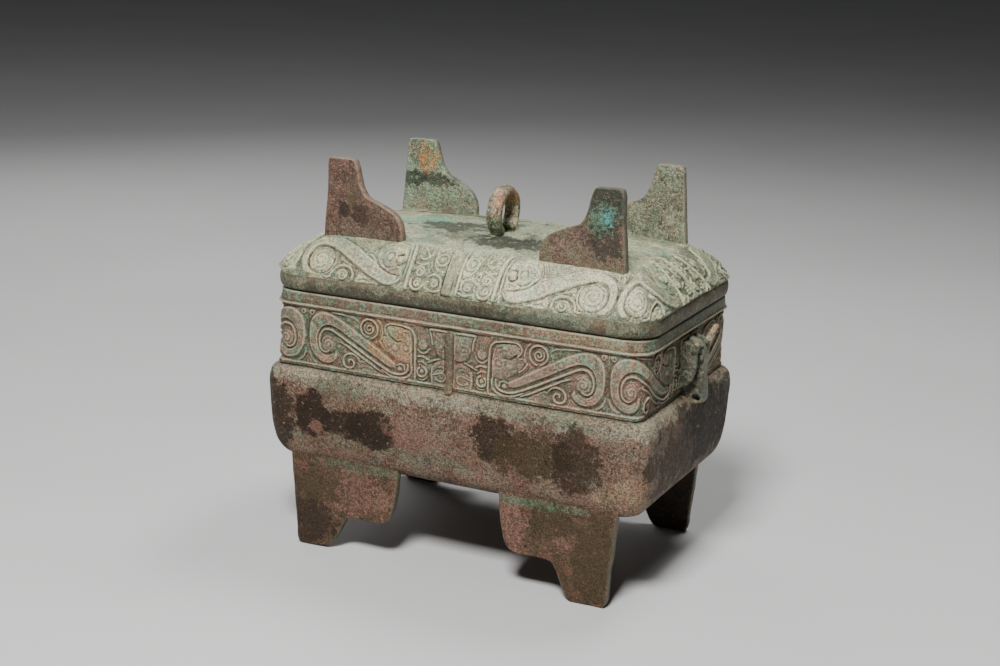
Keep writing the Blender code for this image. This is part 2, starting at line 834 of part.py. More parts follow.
def make_lid(shown, helpers):
    rim = section(RIM_PROFILE, FRIEZE_TOP, RIM_HEIGHT)
    strip = section(LID_STRIP_PROFILE, LID_SEAT, LID_STRIP_HEIGHT)
    dome = dome_section()
    lip_outside = mouth_outline(rim) - LIP_CLEARANCE
    lip_inside = lip_outside - LIP_THICKNESS
    lip = np.concatenate([
        level(LID_SEAT - LIP_DEPTH, lip_outside),
        level(LID_SEAT, lip_outside),
    ])
    outside = np.concatenate([lip, strip, dome])
    lid = add_object("lid", loft(outside, LID_LONG_STEPS, OUTSIDE_CORNER_STEPS, True), shown)
    join(lid, "Plates", "UNION", make_plates(helpers))
    join(lid, "Ring", "UNION", make_ring(helpers))
    band = dome[:DOME_BAND_ROWS]
    outline = lid_rib_outline(band)
    for rib in make_ribs("lid", outline, LID_RIB_OFF_MIDDLE, LID_RIB_HALF_WIDTH, helpers):
        join(lid, rib.name, "UNION", rib)
    for name, rear in (("Front carving", False), ("Rear carving", True)):
        frieze = Frieze(
            band, LID_BAND_START, LID_BAND_SHARE, LID_BAND_SHIFT, LID_BAND_OVERLAP, True, rear
        )
        join(lid, name, "UNION", make_carving("Lid " + name, frieze, helpers))
    hollow = np.concatenate([
        level(LID_SEAT - LIP_DEPTH - CUT_PAST, lip_inside),
        level(LID_SEAT, lip_inside),
        inset(np.concatenate([strip[list(LID_STRIP_CAVITY_ROWS)], dome]), LID_WALL),
    ])
    cavity = loft(hollow, LID_LONG_STEPS, CAVITY_CORNER_STEPS, True)
    join(lid, "Cavity", "DIFFERENCE", add_helper("Lid cavity", cavity, helpers))
    add_material(lid)


def main():
    clear_scene()
    shown = add_collection("Bronze xu food vessel", True)
    helpers = add_collection("Helpers", False)
    make_vessel(shown, helpers)
    make_lid(shown, helpers)


main()
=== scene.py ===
"""Covered bronze xu food vessel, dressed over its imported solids.

Sizes are in millimetres in the row's own frame: x along the vessel, y from front to back, z up. Each
surface is worked out as whole arrays and becomes metres when its mesh is made. Fine carving is first
drawn as heights on a flat sheet, and each point of a band then takes its height from the place on the
sheet that lies over it.
"""

import logging
from dataclasses import dataclass, field, replace
from enum import Enum

import bpy
import numpy as np
from mathutils import Matrix, Vector

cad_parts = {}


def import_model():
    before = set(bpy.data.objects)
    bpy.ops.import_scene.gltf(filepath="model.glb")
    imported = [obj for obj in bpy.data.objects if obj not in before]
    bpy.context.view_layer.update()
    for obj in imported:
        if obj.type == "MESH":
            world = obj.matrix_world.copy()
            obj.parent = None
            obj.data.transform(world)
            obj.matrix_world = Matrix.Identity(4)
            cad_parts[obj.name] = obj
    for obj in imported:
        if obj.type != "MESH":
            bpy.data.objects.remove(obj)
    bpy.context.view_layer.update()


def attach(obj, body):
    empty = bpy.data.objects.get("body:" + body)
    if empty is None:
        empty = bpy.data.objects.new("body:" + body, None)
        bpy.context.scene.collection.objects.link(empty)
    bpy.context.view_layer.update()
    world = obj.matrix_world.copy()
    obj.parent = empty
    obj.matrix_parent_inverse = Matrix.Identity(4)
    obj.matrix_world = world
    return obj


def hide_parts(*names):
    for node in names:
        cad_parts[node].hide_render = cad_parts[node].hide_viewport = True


LOG = logging.getLogger("xu")
MM = 0.001
RELIEF = "relief"
BODY = "root"
NOISE_ROUGHNESS = 0.68
# How far the random values of a foot or plate are from the last one's
SEED_STEP = 7
Array = np.ndarray
Socket = bpy.types.NodeSocket
Points = tuple[tuple[float, ...], ...]
Place = tuple[float, float, float]
Box = tuple[Place, Place]
# How broad soft noise is, how deep it is and which random values it takes
Layer = tuple[float, float, int]


class Casting(Enum):
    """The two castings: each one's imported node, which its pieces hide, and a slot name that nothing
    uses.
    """

    VESSEL = ("vessel", "vessel_bronze")
    LID = ("lid", "lid_bronze")


class Tone(Enum):
    """Colours of the patina and of its painted shade and highlights, as red, green and blue from 0 to 255
    on a screen.
    """

    PALE_CREAM = (230, 222, 188)
    CREAM = (210, 196, 166)
    LICHEN = (210, 204, 158)
    PALE_GREEN = (184, 186, 162)
    GREY_GREEN = (136, 146, 122)
    MINT = (112, 184, 152)
    VERDIGRIS = (92, 124, 100)
    DARK_GREEN = (72, 84, 62)
    DEEP_GREEN = (40, 48, 38)
    OLIVE_GREY = (112, 106, 84)
    OLIVE = (88, 76, 54)
    MOSS = (62, 58, 42)
    TEAL_GREY = (92, 98, 86)
    UMBER = (70, 58, 38)
    PINK = (190, 132, 110)
    PINK_BROWN = (146, 114, 98)
    ROSE = (134, 98, 84)
    RED_BROWN = (112, 80, 64)
    BROWN_GREY = (122, 110, 94)
    DARK_BROWN = (45, 34, 23)
    NEAR_BLACK = (32, 31, 27)
    BEIGE = (192, 172, 146)
    TAN = (196, 160, 124)
    OCHRE = (176, 132, 82)
    ORANGE = (190, 116, 74)
    TURQUOISE = (72, 156, 154)
    PURPLE_BROWN = (94, 70, 63)

    def paint(self) -> tuple[float, float, float, float]:
        """Gives the colour as linear light.

        Returns:
            Its red, green and blue from 0 to 1, and full opacity.
        """
        screen = np.array(self.value) / 255
        linear = np.where(screen <= 0.04045, screen / 12.92, ((screen + 0.055) / 1.055) ** 2.4)
        return (*linear.tolist(), 1)


def soften(share: Array) -> Array:
    """Goes from 0 to 1 as three times the square of the share less twice its cube."""
    held = np.clip(share, 0, 1)
    return held * held * (3 - 2 * held)


def smooth_path(points: Points | Array, steps: int = 8) -> Array:
    """Carries a smooth curve through points of any dimension.

    Each stretch is a cubic between two points. The slope at a point is the mean of the two chords that
    meet there, each weighted by the length of the other.

    Args:
        points: the points that the curve passes through.
        steps: how many parts each stretch is cut into.

    Returns:
        The points of the curve.
    """
    knots = np.asarray(points, float)
    chord = np.diff(knots, axis=0)
    length = np.linalg.norm(chord, axis=1, keepdims=True) + 1e-9
    slope = chord / length
    inner = (slope[:-1] * length[1:] + slope[1:] * length[:-1]) / (length[:-1] + length[1:])
    tangent = np.vstack([slope[:1], inner, slope[-1:]])
    t = (np.arange(steps) / steps)[None, :, None]
    leave = (tangent[:-1] * length)[:, None]
    arrive = (tangent[1:] * length)[:, None]
    curve = (2 * t**3 - 3 * t**2 + 1) * knots[:-1, None] + (t**3 - 2 * t**2 + t) * leave
    curve = curve + (3 * t**2 - 2 * t**3) * knots[1:, None] + (t**3 - t**2) * arrive
    return np.vstack([curve.reshape(-1, knots.shape[1]), knots[-1:]])


def lumps(points: Array, size: float, seed: int) -> Array:
    """Gives soft noise from -1 to 1.

    Random values stand at the corners of a lattice, and a point blends the eight around it, each by the
    smoothed share of its nearness along the three axes.

    Args:
        points: where the noise is wanted, with x, y and z last.
        size: the spacing of the lattice in millimetres.
        seed: which set of random values is used.

    Returns:
        One value for each point.
    """
    side = 32
    table = np.random.default_rng(seed).uniform(-1, 1, (side, side, side))
    scaled = points / size
    cell = np.floor(scaled).astype(int)
    share = soften(scaled - cell)
    total = np.zeros(points.shape[:-1])
    for corner in np.ndindex(2, 2, 2):
        near = np.where(np.array(corner) == 1, share, 1 - share).prod(axis=-1)
        index = (cell + corner) % side
        total += near * table[index[..., 0], index[..., 1], index[..., 2]]
    return total


def path_distance(across: Array, up: Array, path: Array) -> tuple[Array, Array]:
    """Measures how far points on a sheet are from a path of straight pieces.

    Args:
        across: the points' first coordinate.
        up: the points' second coordinate.
        path: the corners of the path.

    Returns:
        The distance to the nearest piece, and that place's share of the way along the path.
    """
    start = path[:-1]
    step = np.diff(path, axis=0)
    square = (step**2).sum(axis=1) + 1e-12
    off_across = across[..., None] - start[:, 0]
    off_up = up[..., None] - start[:, 1]
    share = np.clip((off_across * step[:, 0] + off_up * step[:, 1]) / square, 0, 1)
    gap = np.hypot(off_across - share * step[:, 0], off_up - share * step[:, 1])
    nearest = gap.argmin(axis=-1)
    run = np.concatenate([[0], np.cumsum(np.sqrt(square))])
    picked = nearest[..., None]
    within = np.take_along_axis(share, picked, axis=-1)[..., 0]
    along = run[nearest] + within * np.sqrt(square)[nearest]
    return np.take_along_axis(gap, picked, axis=-1)[..., 0], along / run[-1]


def inside(across: Array, up: Array, outline: Array) -> Array:
    """Tells which points lie inside a closed outline: their ray crosses it an odd number of times.

    Args:
        across: the points' first coordinate.
        up: the points' second coordinate.
        outline: the outline's corners.

    Returns:
        True for each point inside.
    """
    after = np.roll(outline, -1, axis=0)
    below = (outline[:, 1] > up[..., None]) != (after[:, 1] > up[..., None])
    rise = after[:, 1] - outline[:, 1]
    rise = np.where(np.abs(rise) < 1e-9, 1e-9, rise)
    share = (up[..., None] - outline[:, 1]) / rise
    meets = outline[:, 0] + share * (after[:, 0] - outline[:, 0])
    crossed = below & (across[..., None] < meets)
    return crossed.sum(axis=-1) % 2 == 1


def coil(middle: tuple[float, float], first: float, last: float, start: float, turns: float) -> Array:
    """Draws a spiral whose radius changes evenly with the angle.

    Args:
        middle: the middle of the spiral.
        first: the radius at the start.
        last: the radius at the end.
        start: the angle of the start in turns, from the first axis towards the second.
        turns: how many turns it makes, below 0 for the other way round.

    Returns:
        The points of the spiral.
    """
    share = np.linspace(0, 1, 40)
    angle = 2 * np.pi * (start + share * turns)
    radius = first + share * (last - first)
    return np.asarray(middle) + np.stack([radius * np.cos(angle), radius * np.sin(angle)], axis=1)


def blurred(height: Array, reach: int) -> Array:
    """Averages a sheet over the square round each point, first up its columns, then along its rows.

    Args:
        height: the sheet.
        reach: how many points the square goes each way.

    Returns:
        The averaged sheet.
    """
    result = height
    for axis in (0, 1):
        padded = np.concatenate(
            [np.repeat(result.take([0], axis=axis), reach + 1, axis=axis), result,
             np.repeat(result.take([-1], axis=axis), reach, axis=axis)], axis=axis)
        sums = np.cumsum(padded, axis=axis)
        size = result.shape[axis]
        upper = sums.take(np.arange(size) + 2 * reach + 1, axis=axis)
        lower = sums.take(np.arange(size), axis=axis)
        result = (upper - lower) / (2 * reach + 1)
    return result


class Carving:
    """Low relief drawn on a flat sheet, as heights in millimetres above the ground of a band.

    The sheet is a square grid. Beside the heights it keeps each point's distance to the nearest raised
    form, from which the fine lines that echo the forms are drawn.
    """

    pitch: float = 0.25
    margin: float = 7.0
    far_off: float = 99.0
    path_steps: int = 6

    def __init__(self, start: float, end: float, low: float, high: float) -> None:
        """Lays out an empty sheet between two ends and two heights.

        Args:
            start: the first end.
            end: the last end.
            low: the lower height.
            high: the upper height.
        """
        self.corner = np.array([start, low])
        stations = np.arange(start, end, self.pitch)
        levels = np.arange(low, high, self.pitch)
        self.across, self.up = np.meshgrid(stations, levels)
        self.height = np.zeros_like(self.across)
        self.reach = np.full_like(self.across, self.far_off)
        self.tint = np.zeros_like(self.across)

    def window(self, path: Array, margin: float) -> tuple[slice, slice]:
        """Finds the part of the sheet within a margin of a path.

        Args:
            path: the path.
            margin: the margin.

        Returns:
            Its rows and its columns.
        """
        low = np.maximum(((path.min(axis=0) - margin - self.corner) / self.pitch).astype(int), 0)
        high = np.maximum(((path.max(axis=0) + margin - self.corner) / self.pitch).astype(int) + 2, 1)
        return slice(low[1], high[1]), slice(low[0], high[0])

    def keep(self, box: tuple[slice, slice], form: Array, outside: Array) -> None:
        """Raises the sheet to a form where that is higher, and notes the distance to it."""
        self.height[box] = np.maximum(self.height[box], form)
        self.reach[box] = np.minimum(self.reach[box], outside)

    def ridge(self, points: Points | Array, width: float, height: float,
              taper: tuple[float, ...] = (1.0, 1.0), rounded: float = 0.4) -> None:
        """Raises a line with steep sides and a slightly rounded top.

        The height is full up to half the width from the line and falls to nothing over the next half
        millimetre, less a share of it that grows with the square of the distance from the middle.

        Args:
            points: the points that the line passes through.
            width: its width where the taper is 1.
            height: its height along the middle.
            taper: shares of the width at equal steps along the line.
            rounded: the share of the height that is lost at its edge.
        """
        path = smooth_path(points, self.path_steps)
        box = self.window(path, width + self.margin)
        gap, share = path_distance(self.across[box], self.up[box], path)
        half = 0.5 * width * np.interp(share, np.linspace(0, 1, len(taper)), taper)
        outside = gap - half
        crown = 1 - rounded * np.clip(gap / (half + 1e-6), 0, 1) ** 2
        self.keep(box, height * soften(0.5 - outside / 0.5) * crown, outside)

    def field(self, points: Points | Array, height: float, edge: float = 0.6) -> None:
        """Raises the flat area inside a smooth closed outline, with an edge of the given width.

        Args:
            points: the points that the outline passes through.
            height: its height.
            edge: how wide its sloping edge is.
        """
        corners = np.asarray(points, float)
        path = smooth_path(np.vstack([corners, corners[:1]]), self.path_steps)
        box = self.window(path, self.margin)
        gap, _ = path_distance(self.across[box], self.up[box], path)
        outside = np.where(inside(self.across[box], self.up[box], path), -gap, gap)
        self.keep(box, height * soften(0.5 - outside / edge), outside)

    def boss(self, middle: tuple[float, float], radius: float, height: float) -> None:
        """Raises a round dome: height times the root of one less the square of distance over radius.

        Args:
            middle: its middle.
            radius: its radius.
            height: its height.
        """
        centre = np.array([middle])
        box = self.window(centre, radius + self.margin)
        gap = np.hypot(self.across[box] - middle[0], self.up[box] - middle[1])
        form = height * np.sqrt(np.clip(1 - (gap / radius) ** 2, 0, 1))
        self.keep(box, form, gap - radius)

    def cut(self, points: Points | Array, width: float, depth: float,
            taper: tuple[float, ...] = (1.0, 1.0)) -> None:
        """Sinks a line whose depth is full in the middle and falls with the square of the distance.

        Args:
            points: the points that the line passes through.
            width: its width where the taper is 1.
            depth: its depth in the middle.
            taper: shares of the width at equal steps along the line.
        """
        path = smooth_path(points, self.path_steps)
        box = self.window(path, width)
        gap, share = path_distance(self.across[box], self.up[box], path)
        half = 0.5 * width * np.interp(share, np.linspace(0, 1, len(taper)), taper)
        self.height[box] -= depth * np.clip(1 - (gap / (half + 1e-6)) ** 2, 0, 1)

    def echo(self, spacing: float, height: float, limit: float) -> None:
        """Draws fine lines round all raised forms: waves of the distance, fading out at a limit.

        Args:
            spacing: how far apart they are.
            height: their height.
            limit: how far from a form they reach.
        """
        waves = 0.5 - 0.5 * np.cos(2 * np.pi * self.reach / spacing)
        fade = soften((limit - self.reach) / spacing) * soften(self.reach / 0.3)
        self.height = np.maximum(self.height, height * waves * fade)

    def settle(self, low: float, high: float) -> None:
        """Softens the sheet a little and works out its tint.

        The tint is a point's height above the mean round it, with a smaller part from its height alone,
        so it is below 0 in hollows and above 0 on raised edges, which take wear with painted highlights.

        Args:
            low: the height that counts as a hollow.
            high: the height that counts as a top.
        """
        self.height = 0.6 * self.height + 0.4 * blurred(self.height, 1)
        local = (self.height - blurred(self.height, 4)) / 0.45
        whole = 2 * (self.height - low) / (high - low) - 1
        self.tint = np.clip(0.85 * local + 0.25 * whole, -1, 1)

    def sample(self, across: Array, up: Array) -> tuple[Array, Array]:
        """Reads height and tint at points of the sheet, blending the four grid points around each.

        Args:
            across: the points' first coordinate.
            up: the points' second coordinate.

        Returns:
            The heights and the tints.
        """
        rows, columns = self.height.shape
        spot_across = np.clip((across - self.corner[0]) / self.pitch, 0, columns - 1.001)
        spot_up = np.clip((up - self.corner[1]) / self.pitch, 0, rows - 1.001)
        column = spot_across.astype(int)
        row = spot_up.astype(int)
        right = spot_across - column
        above = spot_up - row
        found = []
        for sheet in (self.height, self.tint):
            lower = sheet[row, column] * (1 - right) + sheet[row, column + 1] * right
            upper = sheet[row + 1, column] * (1 - right) + sheet[row + 1, column + 1] * right
            found.append(lower * (1 - above) + upper * above)
        return found[0], found[1]


def draw_vessel_dragon() -> Carving:
    """Draws one half of the vessel's front band, from the rib outwards, by the height on the vessel.

    Returns:
        The drawing.
    """
    sheet = Carving(-3.0, 98.0, 102.0, 143.5)
    draw_vessel_scroll(sheet)
    draw_vessel_head(sheet)
    sheet.echo(1.2, 0.5, 6)
    draw_vessel_cells(sheet)
    place = np.stack([sheet.across, sheet.up, 0 * sheet.up], axis=-1)
    sheet.height *= 1 + 0.1 * lumps(place, 9, 15)
    sheet.height += 0.12 * lumps(place, 2.4, 5)
    sheet.cut(((59.6, 125.4), (61, 126.3), (62.2, 125.4)), 0.8, 0.6)
    sheet.cut(((63, 127.2), (64.4, 126.8), (64.2, 125.2)), 0.8, 0.6)
    sheet.cut(((-3, 105.9), (98, 105.9)), 0.8, 0.4)
    sheet.settle(0.2, 1.7)
    return sheet


def draw_vessel_scroll(sheet: Carving) -> None:
    """Draws the dragon's S-shaped body with its great and small volutes.

    Args:
        sheet: the drawing.
    """
    sheet.field(
        ((33.8, 115), (37, 116.8), (41, 119), (45, 121.5), (50, 124.5), (55, 127.3), (60, 130),
         (65, 132.8), (70, 135.4), (75, 137.2), (80, 137.7), (84.6, 136), (87.6, 131.8), (88.6, 125.4),
         (88.2, 118.5), (86, 113.2), (82.2, 109.8), (78, 108.7), (74, 109.5), (71.2, 111.6),
         (70.2, 114.6), (71.5, 116), (73.2, 114), (76, 112.8), (79.5, 112.8), (82.6, 114.8),
         (84.2, 119), (83.7, 125), (81.2, 129.4), (76.4, 131), (70, 129.2), (65, 126.4),
         (60, 123.6), (55, 120.9), (50, 118.4), (45, 115.8), (40, 113.4), (36.4, 112.3), (34, 112.9)),
        1.5, 1.6)
    sheet.ridge(
        ((34.6, 115), (41, 118.6), (50, 123.8), (60, 129.4), (70, 134.8), (75, 136.6), (80, 137),
         (84, 135.4), (86.9, 131.5), (87.9, 125.4), (87.5, 118.8), (85.4, 113.8), (81.8, 110.6),
         (78, 109.7), (74.4, 110.4), (72, 112.2), (71, 114.4)), 1.2, 1.65,
        (0.7, 0.9, 1, 1, 1, 0.9, 0.8), 0.5)
    sheet.ridge(
        ((36, 112.9), (40, 114.2), (45, 116.6), (50, 119.1), (55, 121.6), (60, 124.3), (65, 127.1),
         (70, 129.7), (76.2, 131.2), (81, 129.2), (83.6, 124.8), (84, 119), (82.4, 115),
         (79.4, 113.1), (76.2, 113), (73.4, 114.4)), 1, 1.6, (0.7, 1, 1, 1, 0.9, 0.8), 0.5)
    sheet.ridge(
        ((26.4, 115.4), (26.5, 112.6), (28.6, 110.2), (32, 109.3), (36, 109.5), (40, 110.9), (45, 113.2),
         (50, 115.6), (55, 118.3), (60, 120.9), (65, 123.5), (70, 126.1), (75, 128.2), (79, 127.7),
         (81.4, 124.8), (82.1, 119.8), (80.8, 116.2), (78.6, 115), (76.2, 115.8), (75.4, 117.8)),
        1.7, 1.6, (0.8, 1, 1, 1, 0.9, 0.7), 0.5)
    sheet.boss((76.4, 119.9), 4.9, 1.9)
    sheet.cut(coil((76.4, 119.9), 3.9, 0.6, 0.55, -1.6), 1, 0.6, (0.8, 1, 0.9))
    sheet.ridge(
        ((41.5, 108.5), (46, 110.4), (50, 112.5), (55, 115.2), (60, 117.8), (64, 120), (69, 122)),
        1.6, 1.35, (0.6, 1, 1, 0.6), 0.6)
    sheet.ridge(
        ((56.4, 112.4), (58.2, 115.1), (61.6, 116.4), (65, 115.3), (66.8, 112.2), (66, 109.4),
         (63, 108.2), (60.6, 109.2), (60, 111.4), (61.4, 113), (63.3, 112.6), (63.3, 111.4)),
        1.6, 1.5, (0.5, 1, 1.1, 1, 0.8), 0.6)
    sheet.field(((45, 107.9), (57.5, 107.4), (57.4, 110.4), (55.4, 113.6), (51, 111.2)), 0.8)
    sheet.cut(((47, 108.6), (51, 109.6), (55.4, 109.2)), 0.8, 0.5)
    sheet.cut(((52, 110.9), (54.2, 111.8), (56, 111.2)), 0.8, 0.5)
    sheet.ridge(coil((50.8, 132.1), 5.5, 5, 0.72, -0.94), 1.5, 1.6, (0.7, 1, 1, 0.7), 0.5)
    sheet.ridge(coil((50.7, 132), 3.3, 0.6, 0.1, -1.6), 1.2, 1.35, (0.8, 1, 1), 0.5)
    sheet.ridge(((44.2, 125.8), (42.9, 128.6), (42.5, 132), (43.4, 135), (45.6, 137.6)), 1.1, 1.1)
    sheet.ridge(((56.8, 133.8), (59, 136), (64, 137.2), (74, 138)), 1.1, 1.3, (0.6, 1, 0.7))


def draw_vessel_head(sheet: Carving) -> None:
    """Draws the dragon's head between the scroll and the cells by the rib.

    Args:
        sheet: the drawing.
    """
    sheet.ridge(
        ((21.9, 107.4), (21.9, 112), (22.1, 120), (22.3, 128), (22.8, 132.4), (24.8, 135.2),
         (28.6, 136.4), (34, 136.8), (38.4, 136.6), (40.8, 134.2), (40.5, 131.4), (38.4, 129.4)),
        1.4, 1.6, (0.8, 1, 1, 1, 0.9, 0.8), 0.5)
    sheet.field(
        ((24.4, 116.4), (24.3, 122), (24.4, 129), (25.4, 132.6), (28.4, 134.8), (33, 135.6),
         (37.4, 135.6), (39.8, 133), (38.2, 130.2), (41.4, 128.6), (42.2, 125.6), (40.2, 122.4),
         (37, 119.6), (33.6, 117.4), (29.6, 116.2)), 1, 1.4)
    sheet.ridge(((24.5, 112.6), (24.5, 120), (24.6, 128), (25.8, 132.4)), 1, 1.35, (0.6, 1, 1, 0.7))
    sheet.boss((36.7, 132.4), 3.9, 1.75)
    sheet.boss((33.2, 130.4), 2.2, 1.2)
    sheet.boss((31.4, 133), 1.9, 1.7)
    sheet.ridge(coil((27.8, 124.3), 3, 2.8, 0.3, 0.9), 1.1, 1.5)
    sheet.boss((27.8, 124.3), 2, 1.6)
    sheet.boss((34.3, 123.7), 2.5, 1.9)
    sheet.ridge(coil((40.8, 126.9), 2.1, 0.6, 0, 1.4), 1, 1.3)
    sheet.ridge(((39.4, 121), (42, 123), (44.4, 126.4)), 1, 1.2)
    sheet.cut(((31, 127.8), (33.6, 127.3), (36, 128.4), (38.2, 130.2)), 1.6, 0.9, (0.6, 1, 0.8))
    sheet.cut(((33.8, 117), (36.6, 118), (39.8, 120)), 1.2, 0.7)
    sheet.cut(((25.8, 130.2), (26.4, 132.4), (28.8, 132.8)), 1, 0.7)
    sheet.ridge(
        ((23.8, 115), (24.3, 111.4), (26.2, 108.9), (29.4, 107.6), (33.2, 107.3), (37.4, 108),
         (42.4, 110.2)), 1.3, 1.4, (0.6, 1, 1, 0.8))
    sheet.ridge(((28.4, 112), (29, 114.2), (31, 115), (33.4, 114.2)), 1.1, 1.2)
    sheet.boss((31.4, 112.3), 1.7, 1.2)


def draw_vessel_cells(sheet: Carving) -> None:
    """Draws the mane, the two small cells by the rib and the lines that frame the band.

    Args:
        sheet: the drawing.
    """
    sheet.boss((17.6, 127.4), 3, 1.6)
    sheet.ridge(((13.8, 126), (15.6, 123.8), (19, 123.4), (20.8, 125)), 1.2, 1.3, (0.5, 1, 0.6))
    sheet.cut(coil((17.7, 127.8), 1.7, 0.5, 0.1, 1.4), 0.8, 0.6)
    sheet.ridge(((11.4, 106.8), (12, 112), (11.6, 116.6)), 1, 1.1)
    sheet.ridge(((13.6, 136.6), (12.4, 132.5), (12, 128.8)), 1, 1.1)
    sheet.ridge(coil((18, 112.8), 2.9, 2.5, 0.3, 0.85), 1.3, 1.4)
    sheet.boss((18, 113), 1.4, 1.3)
    sheet.ridge(((14.6, 110.4), (16.4, 108.6), (19.2, 108.4)), 1.1, 1.3, (0.5, 1, 0.6))
    sheet.ridge(((14.4, 120), (17.2, 121.4), (20.4, 121)), 1.2, 1.2)
    sheet.ridge(((15.4, 117), (18, 118.4), (20.4, 118)), 1, 1)
    sheet.field(
        ((1.2, 122.6), (1.2, 130), (1.3, 137.3), (7, 137.4), (12.6, 137.3), (11.2, 132.4), (10.6, 127.6),
         (9, 124), (6, 122), (3.2, 121.6)), 0.7, 1)
    sheet.ridge(coil((6, 128.4), 2.6, 2.6, 0, 1), 0.6, 1.05)
    sheet.boss((6.6, 128.2), 1.2, 1.2)
    sheet.field(
        ((1.2, 107.4), (1.2, 113), (1.4, 118.6), (4.4, 120.4), (8, 120.2), (10.8, 117.6), (12.2, 113.4),
         (11.6, 107.6), (6, 107)), 0.6, 1)
    sheet.ridge(((7.2, 121.4), (10.8, 120.2), (15, 118.2)), 1.1, 1.2, (0.6, 1, 0.6))
    sheet.ridge(((12.2, 111.9), (8.6, 113.1), (5.4, 114)), 1.1, 1.3, (0.7, 1, 0.8))
    sheet.ridge(((5.4, 114), (3.4, 112.2), (4.2, 109.9), (7, 109.1), (9.6, 110.2)), 1.1, 1.3)
    sheet.cut(((3.2, 117.2), (6, 118.2), (9, 116.8)), 0.9, 0.5)
    sheet.cut(((5.4, 115.8), (8, 116), (10.4, 114.6)), 1, 0.6)
    sheet.ridge(((1.4, 137), (7, 137.1), (13.2, 137)), 1.2, 1.6)
    sheet.ridge(((1.5, 107), (1.4, 120), (1.5, 136.8)), 1, 1.3)
    sheet.ridge(((-3, 138.7), (45, 138.8), (98, 139)), 0.7, 0.9)
    sheet.ridge(((23, 137.8), (40, 137.9)), 0.8, 1)
    sheet.ridge(((90, 106.8), (90.4, 122), (90, 138.4)), 0.9, 0.9)
    sheet.ridge(coil((87.2, 136.2), 1.6, 0.7, 0, 1.2), 0.9, 1.1)
    sheet.ridge(((84, 108), (87, 110), (88.6, 113.6)), 1, 1)
    sheet.ridge(((-3, 106.9), (98, 106.9)), 0.8, 0.9)


def draw_lid_dragon() -> Carving:
    """Draws one half of the lid's front band, by the length of the dome's curve above its rim.

    Returns:
        The drawing.
    """
    sheet = Carving(-4.0, 100.0, 8.0, 46.0)
    draw_lid_scroll(sheet)
    draw_lid_head(sheet)
    sheet.echo(1.3, 0.45, 5.5)
    place = np.stack([sheet.across, sheet.up, 0 * sheet.up], axis=-1)
    sheet.height *= 1 + 0.12 * lumps(place, 8, 19)
    sheet.height += 0.13 * lumps(place, 2.2, 9)
    sheet.height = 1.3 + (1.25 * sheet.height - 1.3) * soften((41.5 - sheet.up) / 9)
    sheet.height *= soften((sheet.up - 9.6) / 1.2)
    sheet.settle(0.2, 1.8)
    return sheet


def draw_lid_scroll(sheet: Carving) -> None:
    """Draws the S-shaped body on the lid, its great volute, the small one and the corner's frame.

    Args:
        sheet: the drawing.
    """
    sheet.field(
        ((29.6, 14), (32, 12), (36, 11.4), (40, 12), (45, 13.9), (50, 16.2), (55, 18.8), (60, 21.3),
         (65, 24), (70, 26.6), (75, 28.5), (79, 29.1), (82.8, 28.2), (85.6, 25.4), (86.8, 21.4),
         (86.4, 17), (84.4, 13.8), (82.4, 12), (86, 11.4), (88.8, 14), (90.2, 18), (90.3, 22.5),
         (88.8, 27.6), (85.4, 31.6), (80.6, 33.8), (75, 34.4), (70, 34), (65, 32.6), (60, 30.2),
         (55, 27.5), (50, 24.9), (45, 22.2), (41.5, 19.8), (38, 18), (34, 16.8), (30.4, 16.4)), 1.4, 1.4)
    sheet.ridge(
        ((28.4, 15.6), (30.2, 12.8), (33, 11.7), (37, 11.7), (41, 12.8), (46, 14.8), (50, 16.7),
         (55, 19.3), (60, 21.8), (65, 24.5), (70, 27), (75, 29), (79.2, 29.6), (83.2, 28.6),
         (86.2, 25.6), (87.3, 21.4), (86.9, 16.8), (84.6, 13.2)), 1.2, 1.7, (0.7, 1, 1, 1, 0.9), 0.5)
    sheet.ridge(
        ((43, 20.8), (50, 24.4), (55, 27), (60, 29.7), (65, 32), (70, 33.4), (75, 33.8), (80.4, 33.2),
         (85, 31), (88.2, 27.2), (89.6, 22.4), (89.4, 18), (88, 14.4), (85.2, 11.8)), 1.1, 1.65,
        (0.6, 1, 1, 1, 0.9), 0.5)
    sheet.ridge(((44, 17), (50, 19.8), (55, 22.2), (60, 24.9), (65, 27.4)), 0.9, 1.55, (0.5, 1, 0.5))
    sheet.boss((78, 20), 7.9, 2.1)
    sheet.cut(coil((78, 20), 6.6, 0.8, 0.35, -2.3), 1.1, 0.6, (0.8, 1, 0.9))
    sheet.ridge(((70.8, 24.4), (69.4, 20), (70.6, 15.2), (73.6, 12.2)), 0.9, 1.2, (0.5, 1, 0.8))
    sheet.ridge(
        ((70.2, 11.2), (69.2, 14.8), (65.8, 17.6), (61.6, 18.2), (58.2, 16.4), (56.6, 13.2), (56.8, 11)),
        1.5, 1.5, (0.6, 1, 1, 0.7), 0.5)
    sheet.ridge(coil((63, 12.9), 3.2, 0.6, 0, 1.7), 1.2, 1.4, (1, 1, 0.9))
    sheet.field(((42, 10.8), (54.6, 10.7), (54.2, 14.6), (52.6, 15.4), (47, 12.9)), 0.75)
    sheet.cut(((45.4, 11.4), (49.6, 12.2), (52.8, 11.6)), 0.8, 0.5)
    sheet.ridge(((66.8, 22.6), (63.2, 20.6), (59.4, 18.9)), 1, 1.1, (0.4, 1, 0.7))
    sheet.ridge(((91.8, 10.8), (92.2, 20), (91.4, 29), (89.4, 35.6)), 1.4, 1.3, (1, 1, 0.6))
    sheet.ridge(((73.6, 11), (71.8, 10.8), (70.6, 11.6)), 0.9, 1)


